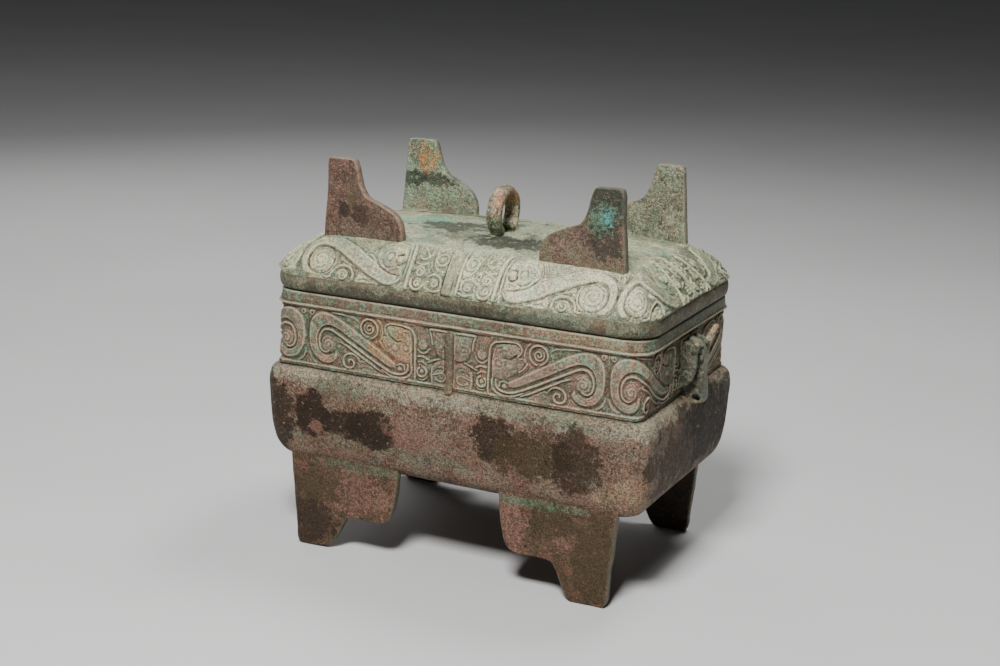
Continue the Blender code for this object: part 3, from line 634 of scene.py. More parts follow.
def draw_lid_head(sheet: Carving) -> None:
    """Draws the head on the lid and the curls between it and the rib.

    Args:
        sheet: the drawing.
    """
    sheet.ridge(
        ((23.6, 10.8), (23.6, 16), (23.7, 24), (24.2, 30), (25.3, 35), (27.2, 39)), 2, 1.8,
        (1, 1, 1, 0.8), 0.5)
    sheet.ridge(((26.4, 16), (26.1, 23), (26.5, 29), (27.8, 34.4)), 0.9, 1.3, (0.6, 1, 0.6))
    sheet.field(
        ((28, 17.6), (27.5, 23), (27.9, 29), (29.4, 34), (34, 36.6), (40, 36.2), (44.4, 32.6),
         (46, 27.6), (44, 23.6), (40.4, 20.4), (36, 18.6), (31.4, 17.4)), 0.8, 0.9)
    sheet.boss((31, 25.6), 2.2, 2)
    sheet.cut(coil((31, 25.6), 2.9, 2.9, 0.55, 0.75), 1.3, 0.9)
    sheet.boss((37.4, 26.4), 2.3, 1.8)
    sheet.ridge(coil((37, 26.6), 3.3, 3.1, 0, 0.55), 1, 1.5)
    sheet.boss((35.6, 31.8), 2.6, 1.4)
    sheet.boss((40.6, 31.2), 2.2, 1.3)
    sheet.cut(((34.4, 21.4), (37.4, 20.9), (40.2, 22.3), (41.8, 24.6)), 1.2, 0.8, (0.5, 1, 0.8))
    sheet.ridge(((43.6, 20.4), (45.8, 23.4), (48.6, 25.8), (52.4, 26.6)), 1, 1.5, (0.6, 1, 0.6))
    sheet.cut(((30.6, 20.6), (32.6, 20.2), (34.2, 19.2)), 1, 0.6)
    sheet.ridge(((30.6, 34.6), (35, 36.8), (40, 36.4), (43.6, 34)), 1, 1.2, (0.4, 1, 0.4))
    sheet.ridge(coil((17.6, 20.8), 3, 0.8, 0.1, 1.5), 1.2, 1.5)
    sheet.ridge(
        ((13.4, 13.8), (15.4, 11.2), (18.6, 10.9), (21.2, 13.2), (21.4, 16.2)), 1.5, 1.6, (0.6, 1, 0.8))
    sheet.ridge(coil((17.8, 14.6), 1.9, 0.6, 0.6, 1.1), 1, 1.3)
    sheet.ridge(((3.4, 14), (4.4, 18.4), (8.2, 20.2), (12, 18.4)), 1.4, 1.5, (0.7, 1, 0.6))
    sheet.ridge(coil((7.6, 15.2), 2.2, 0.6, 0.2, 1.3), 1.2, 1.4)
    sheet.ridge(((2.8, 12.2), (6.6, 11), (11, 12)), 1.1, 1.2)
    sheet.ridge(((14.6, 25.4), (17.6, 24.6), (21.2, 25.4)), 1.2, 1.5)
    sheet.ridge(coil((6.4, 28.6), 3.3, 3.3, 0, 1), 1, 1.3)
    sheet.boss((6.8, 28.4), 1.4, 1.3)
    sheet.ridge(((11.6, 35), (10.6, 30), (9.8, 25.6), (7.2, 22.6)), 1, 1.3, (0.4, 1, 0.8))
    sheet.ridge(((13.6, 35), (14.4, 30), (18.2, 33.6), (20.6, 37)), 1, 1.2, (0.4, 1, 0.4))
    sheet.ridge(((14.6, 29.6), (17.4, 27.6), (20.6, 29)), 1, 1.1)
    sheet.field(
        ((1.4, 22.6), (1.4, 30), (1.6, 38), (8.6, 38), (10.6, 32), (9.4, 25), (5.4, 21.6)), 0.5, 0.8)
    sheet.ridge(((1.4, 10.8), (1.3, 20), (1.5, 30), (1.9, 39)), 1.1, 1.5, (1, 1, 0.6))


@dataclass(frozen=True)
class Spacing:
    """How many columns stand on each stretch of a ring round the vessel."""

    front: int = 480
    front_corner: int = 24
    end: int = 190
    back_corner: int = 12
    back: int = 150


class Ring:
    """The columns of a ring with straight sides and round corners.

    For a half length L, half depth D and corner radius r, a column stands at x = across (L - r) + r
    times its outward x, and y = deep (D - r) + r times its outward y.
    """

    def __init__(self, spacing: Spacing) -> None:
        """Sets out the columns, starting at the left of the front and going round to the right.

        Args:
            spacing: how many columns each stretch has.
        """
        counts = (spacing.front, spacing.front_corner, spacing.end, spacing.back_corner,
                  spacing.back, spacing.back_corner, spacing.end, spacing.front_corner)
        across_from = (-1, 1, 1, 1, 1, -1, -1, -1)
        across_to = (1, 1, 1, 1, -1, -1, -1, -1)
        deep_from = (-1, -1, -1, 1, 1, 1, 1, -1)
        deep_to = (-1, -1, 1, 1, 1, 1, -1, -1)
        facing_from = (-1, -1, 0, 0, 1, 1, 2, 2)
        facing_to = (-1, 0, 0, 1, 1, 2, 2, 3)
        turn_from = (0, 0, 1, 1, 0, 0, 1, 1)
        turn_to = (0, 1, 1, 0, 0, 1, 1, 0)
        self.across = self.spread(counts, across_from, across_to)
        self.deep = self.spread(counts, deep_from, deep_to)
        facing = 0.5 * np.pi * self.spread(counts, facing_from, facing_to)
        self.turn = 0.5 * np.pi * self.spread(counts, turn_from, turn_to)
        self.out = np.stack([np.cos(facing), np.sin(facing)], axis=-1)
        self.count = len(self.across)

    @staticmethod
    def spread(counts: tuple[int, ...], first: tuple[int, ...], last: tuple[int, ...]) -> Array:
        """Joins even runs from each first value towards its last, without the last itself."""
        runs = zip(counts, first, last)
        return np.concatenate([start + (end - start) * np.arange(n) / n for n, start, end in runs])

    def place(self, sizes: Array, heights: Array) -> Array:
        """Places every column on rings of given half length, half depth and corner radius.

        Args:
            sizes: half length, half depth and corner radius, one row for each ring.
            heights: the height of each ring.

        Returns:
            The points, by ring and column.
        """
        length, depth, corner = sizes[:, 0:1], sizes[:, 1:2], sizes[:, 2:3]
        x = self.across * (length - corner) + corner * self.out[:, 0]
        y = self.deep * (depth - corner) + corner * self.out[:, 1]
        return np.stack([x, y, np.broadcast_to(heights[:, None], x.shape)], axis=-1)

    def along(self, sizes: Array) -> tuple[Array, Array]:
        """Measures the way round from the middle of the front or back.

        Args:
            sizes: half length, half depth and corner radius, one row for each ring.

        Returns:
            The way from the middle of the front or back, and the whole way to the middle of the end.
        """
        length, depth, corner = sizes[:, 0:1], sizes[:, 1:2], sizes[:, 2:3]
        way = np.abs(self.across) * (length - corner) + corner * self.turn
        way = way + (1 - np.abs(self.deep)) * (depth - corner)
        whole = (length - corner) + 0.5 * np.pi * corner + (depth - corner)
        return way, whole


def grid_faces(rows: int, columns: int, closed: bool) -> Array:
    """Joins each row of points to the next by squares, and the last column to the first.

    Args:
        rows: how many rows there are.
        columns: how many points a row has.
        closed: whether the last row joins the first too.

    Returns:
        Four point numbers for each square.
    """
    row = np.arange(rows if closed else rows - 1)[:, None]
    column = np.arange(columns)[None, :]
    after = (column + 1) % columns
    above = (row + 1) % rows
    corners = np.broadcast_arrays(
        row * columns + column, row * columns + after, above * columns + after, above * columns + column)
    return np.stack(corners, axis=-1).reshape(-1, 4)


NO_TRIANGLES = np.zeros((0, 3), int)


@dataclass
class Skin:
    """A closed surface on its way to a mesh, with points in millimetres and a relief value for each."""

    points: Array
    quads: Array
    triangles: Array
    relief: Array

    def outward(self) -> "Skin":
        """Turns all faces round where the volume that they enclose comes out below 0.

        Returns:
            The surface, facing outwards.
        """
        a, b, c, d = (self.points[self.quads[:, corner]] for corner in range(4))
        volume = (a * np.cross(b, c)).sum() + (a * np.cross(c, d)).sum()
        e, f, g = (self.points[self.triangles[:, corner]] for corner in range(3))
        volume += (e * np.cross(f, g)).sum()
        if volume >= 0:
            return self
        return replace(self, quads=self.quads[:, ::-1], triangles=self.triangles[:, ::-1])

    def mirrored(self, x: float, y: float) -> "Skin":
        """Mirrors the surface where x or y is -1, and keeps its faces pointing outwards."""
        return replace(self, points=self.points * np.array([x, y, 1.0])).outward()

    def uneven(self, size: float, depth: float, seed: int) -> "Skin":
        """Moves every point by soft noise along the three axes."""
        shift = np.stack([lumps(self.points, size, seed + axis) for axis in range(3)], axis=-1)
        return replace(self, points=self.points + depth * shift)

    def within(self, low: Place, high: Place) -> "Skin":
        """Keeps every point between two corners."""
        return replace(self, points=np.clip(self.points, low, high))


def joined(skins: list[Skin]) -> Skin:
    """Puts several closed surfaces together as one."""
    starts = np.cumsum([0] + [len(skin.points) for skin in skins[:-1]])
    return Skin(
        np.concatenate([skin.points for skin in skins]),
        np.concatenate([skin.quads + start for skin, start in zip(skins, starts)]),
        np.concatenate([skin.triangles + start for skin, start in zip(skins, starts)]),
        np.concatenate([skin.relief for skin in skins]))


def lofted(rows: Array, relief: Array | None = None, closed: bool = False) -> Skin:
    """Makes a closed surface from rows of points.

    The rows either join round to the first, or the first and last are each closed by a fan of triangles
    to the middle of the row.

    Args:
        rows: the points by row and column.
        relief: a relief value for each point, or nothing for 0.
        closed: whether the last row joins the first.

    Returns:
        The surface, facing outwards.
    """
    count, columns = rows.shape[:2]
    points = rows.reshape(-1, 3)
    values = np.zeros(len(points)) if relief is None else relief.reshape(-1)
    triangles = NO_TRIANGLES
    if not closed:
        middles = np.stack([rows[0].mean(axis=0), rows[-1].mean(axis=0)])
        column = np.arange(columns)
        after = (column + 1) % columns
        first = np.full(columns, len(points))
        last_row = (count - 1) * columns
        start_fan = np.stack([first, after, column], axis=-1)
        end_fan = np.stack([last_row + column, last_row + after, first + 1], axis=-1)
        triangles = np.concatenate([start_fan, end_fan])
        points = np.concatenate([points, middles])
        values = np.concatenate([values, [values[0], values[-1]]])
    return Skin(points, grid_faces(count, columns, closed), triangles, values).outward()


def make_piece(skin: Skin, name: str, casting: Casting, finish: bpy.types.Material) -> bpy.types.Object:
    """Turns a surface into a piece of the vessel or the lid.

    Args:
        skin: the surface, in millimetres.
        name: the piece's name.
        casting: the casting that the piece stands for.
        finish: its material.

    Returns:
        The new object, at the origin.
    """
    mesh = bpy.data.meshes.new(name)
    faces = skin.quads.tolist() + skin.triangles.tolist()
    mesh.from_pydata((skin.points * MM).tolist(), [], faces)
    mesh.polygons.foreach_set("use_smooth", np.ones(len(faces), bool))
    layer = mesh.attributes.new(RELIEF, "FLOAT", "POINT")
    layer.data.foreach_set("value", skin.relief.astype(np.float32))
    mesh.materials.append(finish)
    mesh.update()
    piece = bpy.data.objects.new(name, mesh)
    bpy.context.scene.collection.objects.link(piece)
    node, slot = casting.value
    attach(piece, BODY)
    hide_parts(node)
    triangles = 2 * len(skin.quads) + len(skin.triangles)
    LOG.info("%s: %d triangles, stands for %s", name, triangles, node)
    return piece


class Board:
    """The nodes of one material, with short ways to add them."""

    def __init__(self, name: str) -> None:
        """Starts an empty material and its object coordinates.

        Args:
            name: the material's name.
        """
        self.material = bpy.data.materials.new(name)
        self.material.use_nodes = True
        self.tree = self.material.node_tree
        self.tree.nodes.clear()
        self.place = self.add("ShaderNodeTexCoord").outputs["Object"]

    def add(self, kind: str, inputs: dict[int | str, object] | None = None,
            **settings: object) -> bpy.types.Node:
        """Adds a node, sets its properties and feeds its inputs.

        Args:
            kind: the node's type.
            inputs: values or other nodes' sockets, by the name or number of the input.
            **settings: its properties.

        Returns:
            The node.
        """
        node = self.tree.nodes.new(kind)
        for name, value in settings.items():
            setattr(node, name, value)
        for name, value in (inputs or {}).items():
            self.feed(node.inputs[name], value)
        return node

    def feed(self, socket: Socket, value: object) -> None:
        """Links another node's socket to this one, or sets this one's own value.

        Args:
            socket: the input.
            value: the other socket, or the value.
        """
        if isinstance(value, Socket):
            self.tree.links.new(value, socket)
        else:
            socket.default_value = value

    def sum(self, kind: str, first: object, second: object) -> Socket:
        """Combines two numbers by a math node of the given kind."""
        return self.add("ShaderNodeMath", {0: first, 1: second}, operation=kind).outputs[0]

    def offset(self, value: object, factor: float) -> Socket:
        """Gives how far noise is from 0.5, times a factor."""
        return self.sum("MULTIPLY", self.sum("SUBTRACT", value, 0.5), factor)

    def vector(self, kind: str, first: object, second: object) -> Socket:
        """Combines two vectors by a vector math node, giving a number for a length."""
        node = self.add("ShaderNodeVectorMath", {0: first, 1: second}, operation=kind)
        return node.outputs["Value" if kind == "LENGTH" else "Vector"]

    def noise(self, size: float, detail: float = 3.0, shift: float = 0.0) -> Socket:
        """Gives cloudy noise round 0.5.

        Args:
            size: how many millimetres its lumps are across.
            detail: how many finer layers it has.
            shift: how far it is moved, so that no two are alike.

        Returns:
            The noise.
        """
        moved = self.vector("ADD", self.place, (shift, 0.7 * shift, 0.3 * shift))
        node = self.add("ShaderNodeTexNoise", {
            "Vector": moved, "Scale": 1 / (size * MM), "Detail": detail, "Roughness": NOISE_ROUGHNESS})
        return node.outputs[0]

    def spread(self, value: object, low: float, high: float) -> Socket:
        """Turns a number into a soft share: 0 at the low value and 1 at the high one."""
        inputs = {"Value": value, "From Min": low, "From Max": high}
        return self.add("ShaderNodeMapRange", inputs, interpolation_type="SMOOTHSTEP").outputs[0]

    def blend(self, share: object, under: object, over: object) -> Socket:
        """Lays one colour over another by a share."""
        return self.add("ShaderNodeMix", {0: share, 6: under, 7: over}, data_type="RGBA").outputs[2]

    def shade(self, colour: object, factor: object) -> Socket:
        """Makes a colour lighter or darker by a factor."""
        node = self.add("ShaderNodeVectorMath", {0: colour, "Scale": factor}, operation="SCALE")
        return node.outputs["Vector"]

    def relief(self) -> Socket:
        """Reads the relief value of the surface."""
        return self.add("ShaderNodeAttribute", attribute_name=RELIEF).outputs["Fac"]


# Each pair gives the noise or relief at which a layer of the patina starts and where it is full
ISLAND_EDGE = (0.66, 0.56)
STAIN_EDGE = (1.1, 0.88)
FLECK_EDGE = (0.5, 0.59)
MOTTLE_EDGE = (0.38, 0.62)
PIT_EDGE = (0.44, 0.32)
# Relief at which the hollow colour starts and is full: patina in hollows, and painted shade at creases,
# gaps and the snout's hole
HOLLOW_EDGE = (0.1, -0.8)
# Relief at which the edge colour starts and is full: wear on raised edges, with painted highlights
WEAR_AND_HIGHLIGHT_EDGE = (0.1, 0.9)


@dataclass(frozen=True)
class Stain:
    """A placed patch of colour, an ellipsoid with a ragged edge, in millimetres: mostly patina, and a few
    painted shadows, shade and highlights.
    """

    middle: Place
    radii: Place
    tone: Tone
    strength: float = 0.8
    ragged: float = 0.6
    grain: float = 7.0
    smooth: bool = False


@dataclass(frozen=True)
class Patina:
    """A finish of cast bronze that has been long in the ground.

    A ground and a second colour are mottled together. Over them lie clumps of a cloud colour, the placed
    stains, fine flecks of several tones, the smooth stains, the grain's light and dark, dark pits, the
    hollows with painted shade at creases and gaps, and wear on raised edges with painted highlights.
    """

    name: str
    ground: Tone
    second: Tone
    cloud: Tone
    flecks: tuple[Tone, ...]
    hollow: Tone
    # The edge colour stands for wear on raised edges and for painted highlights there
    edge: Tone
    mottle: float = 9.0
    cloud_size: float = 8.0
    cloud_share: float = 0.5
    cloud_cover: float = 0.54
    fleck_size: float = 2.0
    fleck_share: float = 0.5
    grain_share: float = 3.9
    pit_share: float = 0.45
    hollow_share: float = 0.5
    edge_share: float = 0.5
    metal: float = 0.38
    rough: float = 0.43
    gloss: float = 0.5
    grain_size: float = 0.8
    grain_depth: float = 0.8
    seed: float = 0.0
    stains: tuple[Stain, ...] = ()

    def stained(self, board: Board, colour: Socket, smooth: bool) -> Socket:
        """Lays the rough or the smooth stains over a colour.

        A stain covers where its scaled distance plus noise is below 1, with a soft edge. Small islands
        of what lies under it are left in a smooth stain.

        Args:
            board: the material's nodes.
            colour: the colour under them.
            smooth: whether the smooth stains are wanted, or the others.

        Returns:
            The colour with the stains.
        """
        chosen = [stain for stain in self.stains if stain.smooth is smooth]
        islands = board.spread(board.noise(2.4, 6, self.seed + 1.9), *ISLAND_EDGE)
        for order, stain in enumerate(chosen):
            middle = tuple(value * MM for value in stain.middle)
            shrink = tuple(1 / (value * MM) for value in stain.radii)
            from_middle = board.vector("SUBTRACT", board.place, middle)
            scaled = board.vector("MULTIPLY", from_middle, shrink)
            reach = board.vector("LENGTH", scaled, (0, 0, 0))
            wander = board.noise(stain.grain, 9, 0.37 * (order + 1) + self.seed)
            ragged = board.sum("ADD", reach, board.offset(wander, 3.4 * stain.ragged))
            cover = board.sum("MULTIPLY", board.spread(ragged, *STAIN_EDGE), stain.strength)
            if smooth:
                cover = board.sum("MULTIPLY", cover, islands)
            colour = board.blend(cover, colour, stain.tone.paint())
        return colour

    def flecked(self, board: Board, colour: Socket) -> Socket:
        """Strews flecks of each tone over a colour, thicker in some places than in others.

        Args:
            board: the material's nodes.
            colour: the colour under them.

        Returns:
            The flecked colour.
        """
        for order, tone in enumerate(self.flecks):
            shift = self.seed + 2.3 * order
            clusters = board.offset(board.noise(14, 4, shift + 8.7), 0.45)
            flecks = board.sum("ADD", board.noise(self.fleck_size, 6, shift + 6.4), clusters)
            cover = board.sum("MULTIPLY", board.spread(flecks, *FLECK_EDGE), self.fleck_share)
            colour = board.blend(cover, colour, tone.paint())
        return colour

    def coloured(self, board: Board, fine: Socket,
                 middle: Socket) -> Socket:
        """Works out the colour, from the mottled ground to the wear on raised edges with its painted
        highlights.

        Args:
            board: the material's nodes.
            fine: the noise of the grain.
            middle: noise a few millimetres across.

        Returns:
            The last colour.
        """
        broad = board.sum("ADD", board.noise(self.mottle, 7, self.seed), board.offset(middle, 0.35))
        mottling = board.spread(broad, *MOTTLE_EDGE)
        colour = board.blend(mottling, self.ground.paint(), self.second.paint())
        clumps = board.noise(self.cloud_size, 9, self.seed + 3.1)
        ragged = board.sum("ADD", clumps, board.offset(middle, 0.3))
        clouds = board.spread(ragged, self.cloud_cover - 0.06, self.cloud_cover + 0.09)
        colour = board.blend(board.sum("MULTIPLY", clouds, self.cloud_share), colour, self.cloud.paint())
        colour = self.stained(board, colour, False)
        colour = self.flecked(board, colour)
        colour = self.stained(board, colour, True)
        grain = board.sum("ADD", board.offset(fine, self.grain_share), 1)
        colour = board.shade(colour, grain)
        pits = board.sum("MULTIPLY", board.spread(fine, *PIT_EDGE), self.pit_share)
        colour = board.blend(pits, colour, self.hollow.paint())
        relief = board.relief()
        break_up = board.sum("ADD", board.offset(middle, 2.6), 0.9)
        # Patina in the hollows, and painted shade at creases, gaps and the snout's hole
        deep = board.sum("MULTIPLY", board.spread(relief, *HOLLOW_EDGE), break_up)
        colour = board.blend(board.sum("MULTIPLY", deep, self.hollow_share), colour, self.hollow.paint())
        # Wear on raised edges, with painted highlights
        high = board.sum("MULTIPLY", board.spread(relief, *WEAR_AND_HIGHLIGHT_EDGE), break_up)
        return board.blend(board.sum("MULTIPLY", high, self.edge_share), colour, self.edge.paint())

    def material(self) -> bpy.types.Material:
        """Builds the material from its nodes.

        Returns:
            The material.
        """
        board = Board(self.name)
        fine = board.noise(self.grain_size, 4, self.seed + 5.3)
        middle = board.noise(3, 6, self.seed + 4.1)
        height = board.sum("ADD", fine, board.sum("MULTIPLY", middle, 1.4))
        bump = board.add("ShaderNodeBump", {
            "Height": height, "Strength": 1, "Distance": self.grain_depth * MM})
        shader = board.add("ShaderNodeBsdfPrincipled", {
            "Base Color": self.coloured(board, fine, middle), "Metallic": self.metal,
            "Roughness": board.sum("ADD", board.offset(middle, 0.7), self.rough),
            "Specular IOR Level": self.gloss, "Normal": bump.outputs[0]})
        board.add("ShaderNodeOutputMaterial", {"Surface": shader.outputs[0]})
        return board.material


def at_heights(stations: Points, heights: Array) -> Array:
    """Reads half length, half depth and corner radius at heights between the stations of a profile."""
    table = np.asarray(stations)
    return np.stack([np.interp(heights, table[:, 0], table[:, column]) for column in (1, 2, 3)], axis=-1)


def roughened(rise: Array, points: Array, layers: tuple[Layer, ...]) -> Array:
    """Adds soft noise to heights: for each layer its depth times the lumps of its size.

    Args:
        rise: the heights.
        points: where they stand.
        layers: the layers of noise.

    Returns:
        The rougher heights.
    """
    for size, depth, seed in layers:
        rise = rise + depth * lumps(points, size, seed)
    return rise


def closed_band(ring: Ring, stations: Points, broad: Layer) -> Skin:
    """Carries a closed profile round the vessel, with soft unevenness.

    Args:
        ring: the columns that it is carried along.
        stations: height, half length, half depth and corner radius, round the profile.
        broad: its unevenness.

    Returns:
        The surface of the band.
    """
    table = np.asarray(stations)
    rows = ring.place(table[:, 1:4], table[:, 0])
    return lofted(rows, closed=True).uneven(*broad)


@dataclass
class Bowl:
    """The lower body: bulging sides, a flat floor and the inside of the whole vessel."""

    outside: Points = (
        (49.8, 30, 6, 3), (49.8, 70, 30, 8), (49.8, 98, 54, 9), (50.4, 103, 59, 10),
        (52.2, 107.4, 63.4, 10.5), (55, 110.2, 66.2, 11), (59.6, 112.3, 68.4, 11),
        (68, 113.9, 70.2, 11), (78, 114.8, 71.4, 11), (88, 115.2, 71.9, 11), (97, 115.2, 71.8, 10.5),
        (101.5, 114.2, 70.9, 9.5), (104.2, 112.2, 69.2, 8), (105.2, 110.4, 67.7, 7.2),
        (105.7, 108.6, 66, 6.8),
    )
    hidden: Points = ((107.5, 107.7, 64.9, 6.4), (140, 109.2, 64.9, 11), (145.6, 109.4, 64.9, 13))
    within: Points = (
        (145.6, 107.8, 63.4, 11), (110, 106.2, 63.4, 6), (104, 108, 64.8, 6), (97, 111.2, 67.8, 7),
        (88, 111.4, 68.1, 7.5), (68, 110.1, 66.4, 8), (60, 107.8, 63.8, 8.5), (57, 103.6, 60, 8.5),
        (55.6, 96, 52, 8), (55.4, 60, 26, 6), (55.4, 25, 5, 3),
    )
    outside_steps: int = 4
    within_steps: int = 2
    spacing: Spacing = Spacing(150, 14, 84, 12, 110)
    broad: Layer = (17.0, 0.28, 21)
    fine: Layer = (4.0, 0.07, 31)
    # The band of wear with a painted highlight along the shoulder's top, and the height from which the
    # bowl takes painted shade under the frieze and inside
    shoulder_wear_and_highlight: tuple[float, float] = (102.4, 104.6)
    dark_from: float = 104.9
    limits: Box = ((-130, -71.9, 49.5), (130, 71.9, 148.0))

    def skin(self) -> Skin:
        """Carries the profile round the ring: up the outside, over and down the inside.

        Returns:
            The surface of the bowl.
        """
        outer = smooth_path(self.outside, self.outside_steps)
        inner = smooth_path(self.within, self.within_steps)
        table = np.vstack([outer, np.asarray(self.hidden), inner])
        rows = Ring(self.spacing).place(table[:, 1:4], table[:, 0])
        skin = lofted(rows).uneven(*self.broad).uneven(*self.fine)
        height = skin.points[:, 2]
        # Wear and a painted highlight along the shoulder's top; painted shade under the frieze and inside
        low, high = self.shoulder_wear_and_highlight
        wear_and_highlight = 0.55 * soften((height - low) / 1.2) * soften(high - height)
        dark = 0.8 * soften((height - self.dark_from) / 0.5)
        return replace(skin, relief=wear_and_highlight - dark).within(*self.limits)


@dataclass
class Frieze:
    """The band of dragons round the vessel, one closed ring of metal with the fillets above and below."""

    stations: Points = (
        (104.9, 108.4, 65.8, 6.5), (105.7, 108.6, 66, 6.5), (106.3, 109.7, 67, 6.5),
        (107.4, 109.8, 67.1, 6.5), (107.9, 108.7, 66, 6.5), (140, 110.3, 65.9, 12),
        (140.7, 112, 67.6, 12.6), (141.3, 112.5, 68.1, 13), (141.9, 112.2, 67.8, 13.2),
        (142.6, 111.4, 67, 13.5),
    )
    rows: int = 88
    behind: float = 1.5
    off_middle: float = 1.2
    divider: float = 89.9
    back_depth: float = 0.8
    behind_taper: float = 1.6
    behind_height: float = 139.0
    carved: tuple[float, float] = (105.4, 142.2)
    fillet_from: float = 140.0
    # The band of wear with a painted highlight along the upper fillet, and the height below which the band
    # takes painted shade where it meets the bowl
    fillet_wear_and_highlight: tuple[float, float] = (140.7, 142.0)
    dark_below: float = 105.7
    stretch: float = 8.2
    stretch_from: float = 48.0
    stretch_over: float = 24.0
    layers: tuple[Layer, ...] = ((15.0, 0.22, 3), (1.5, 0.11, 4), (4.0, 0.1, 6))
    spacing: Spacing = Spacing()

    def sheet_across(self, ring: Ring, sizes: Array) -> Array:
        """Finds the place across the drawing for every point of the band.

        On the front it is the way from the rib. Past the divider it is the way from the middle of the
        end, widened past the corner, so that the end's own dragon winds its scroll round the corner.

        Args:
            ring: the columns of the band.
            sizes: half length, half depth and corner radius of each row.

        Returns:
            The places, by row and column.
        """
        way, whole = ring.along(sizes)
        side = np.sign(ring.across) * (ring.deep < 0)
        from_rib = np.abs(way - self.off_middle * side)
        from_rib = np.where((way < self.off_middle) & (side > 0), self.off_middle - way, from_rib)
        widened = self.widen(whole - way)
        at_divider = self.widen(whole - self.divider - self.off_middle * side)
        from_end = widened * self.divider / at_divider
        return np.where(way - self.off_middle * side < self.divider, from_rib, from_end)

    def widen(self, way: Array) -> Array:
        """Stretches the way from the end's middle where it turns the corner."""
        return way + self.stretch * soften((way - self.stretch_from) / self.stretch_over)

    def skin(self, sheet: Carving) -> Skin:
        """Raises the drawing from the ground of the band.

        Args:
            sheet: the drawing.

        Returns:
            The surface of the band.
        """
        ring = Ring(self.spacing)
        heights = np.linspace(self.stations[0][0], self.stations[-1][0], self.rows)
        sizes = at_heights(self.stations, heights)
        up = np.broadcast_to((heights - self.off_middle)[:, None], (self.rows, ring.count))
        rise, tint = sheet.sample(self.sheet_across(ring, sizes), up)
        rows = ring.place(sizes, heights)
        rise = rise * np.where(ring.deep >= 1, self.back_depth, 1)
        low, high = self.carved
        ends = soften((heights - low) / 0.8) * soften((high - heights) / 0.8)
        plain = soften((heights - self.fillet_from) / 0.6)
        rise = rise * (ends * (1 - plain))[:, None]
        rise = roughened(rise, rows, self.layers)
        rows[..., :2] += ring.out * rise[..., None]
        # Wear and a painted highlight along the upper fillet; painted shade along the lower edge
        low, high = self.fillet_wear_and_highlight
        wear_and_highlight = 0.75 * soften((heights - low) / 0.4) * soften((high - heights) / 0.3)
        dark = 0.9 * soften((self.dark_below - heights) / 0.5)
        tint = tint * (1 - plain)[:, None] + wear_and_highlight[:, None] - dark[:, None]
        upper = sizes[-1] - self.behind
        back = np.stack([upper, upper - self.behind_taper, sizes[0] - self.behind])
        behind = ring.place(back, np.array([heights[-1], self.behind_height, heights[0]]))
        relief = np.concatenate([tint, np.zeros((3, ring.count))])
        return lofted(np.concatenate([rows, behind]), relief, closed=True)


@dataclass
class Rim:
    """The plain strip at the vessel's mouth, one closed ring of metal."""

    stations: Points = (
        (141.7, 111.2, 66.8, 13.4), (142.4, 111.7, 67.3, 13.6), (143.2, 111.9, 67.5, 14.2),
        (145, 111.9, 67.4, 15.4), (146.8, 112.1, 67.5, 16.5), (147.6, 112.1, 67.5, 16.8),
        (148.1, 111.8, 67.2, 16.6), (148.4, 111.1, 66.5, 16), (148.4, 109.4, 65, 15),
        (148.3, 108.3, 63.9, 14.2), (147.8, 107.76, 63.36, 13.8), (144, 107.74, 63.34, 12.4),
        (142, 107.74, 63.34, 12), (141.6, 109, 65, 12.4),
    )
    spacing: Spacing = Spacing(200, 24, 110, 16, 150)
    broad: Layer = (13.0, 0.2, 41)
    fine: Layer = (3.0, 0.07, 51)
    # Wear with a painted highlight from this height up, and painted shade below the next, in the crease
    # above the frieze
    wear_and_highlight_from: float = 147.2
    dark_below: float = 142.6
    limits: Box = ((-130, -130, 0), (130, 130, 148.55))

    def skin(self) -> Skin:
        """Carries the strip's profile round the mouth.

        Returns:
            The surface of the strip.
        """
        skin = closed_band(Ring(self.spacing), self.stations, self.broad).uneven(*self.fine)
        height = skin.points[:, 2]
        # Wear and a painted highlight on the top; painted shade along the bottom
        wear_and_highlight = 0.5 * soften((height - self.wear_and_highlight_from) / 0.6)
        dark = 0.7 * soften((self.dark_below - height) / 0.6)
        return replace(skin, relief=wear_and_highlight - dark).within(*self.limits)


class Plane(Enum):
    """The plane in which a flat casting's outline lies."""

    LENGTHWISE = 0
    CROSSWISE = 1


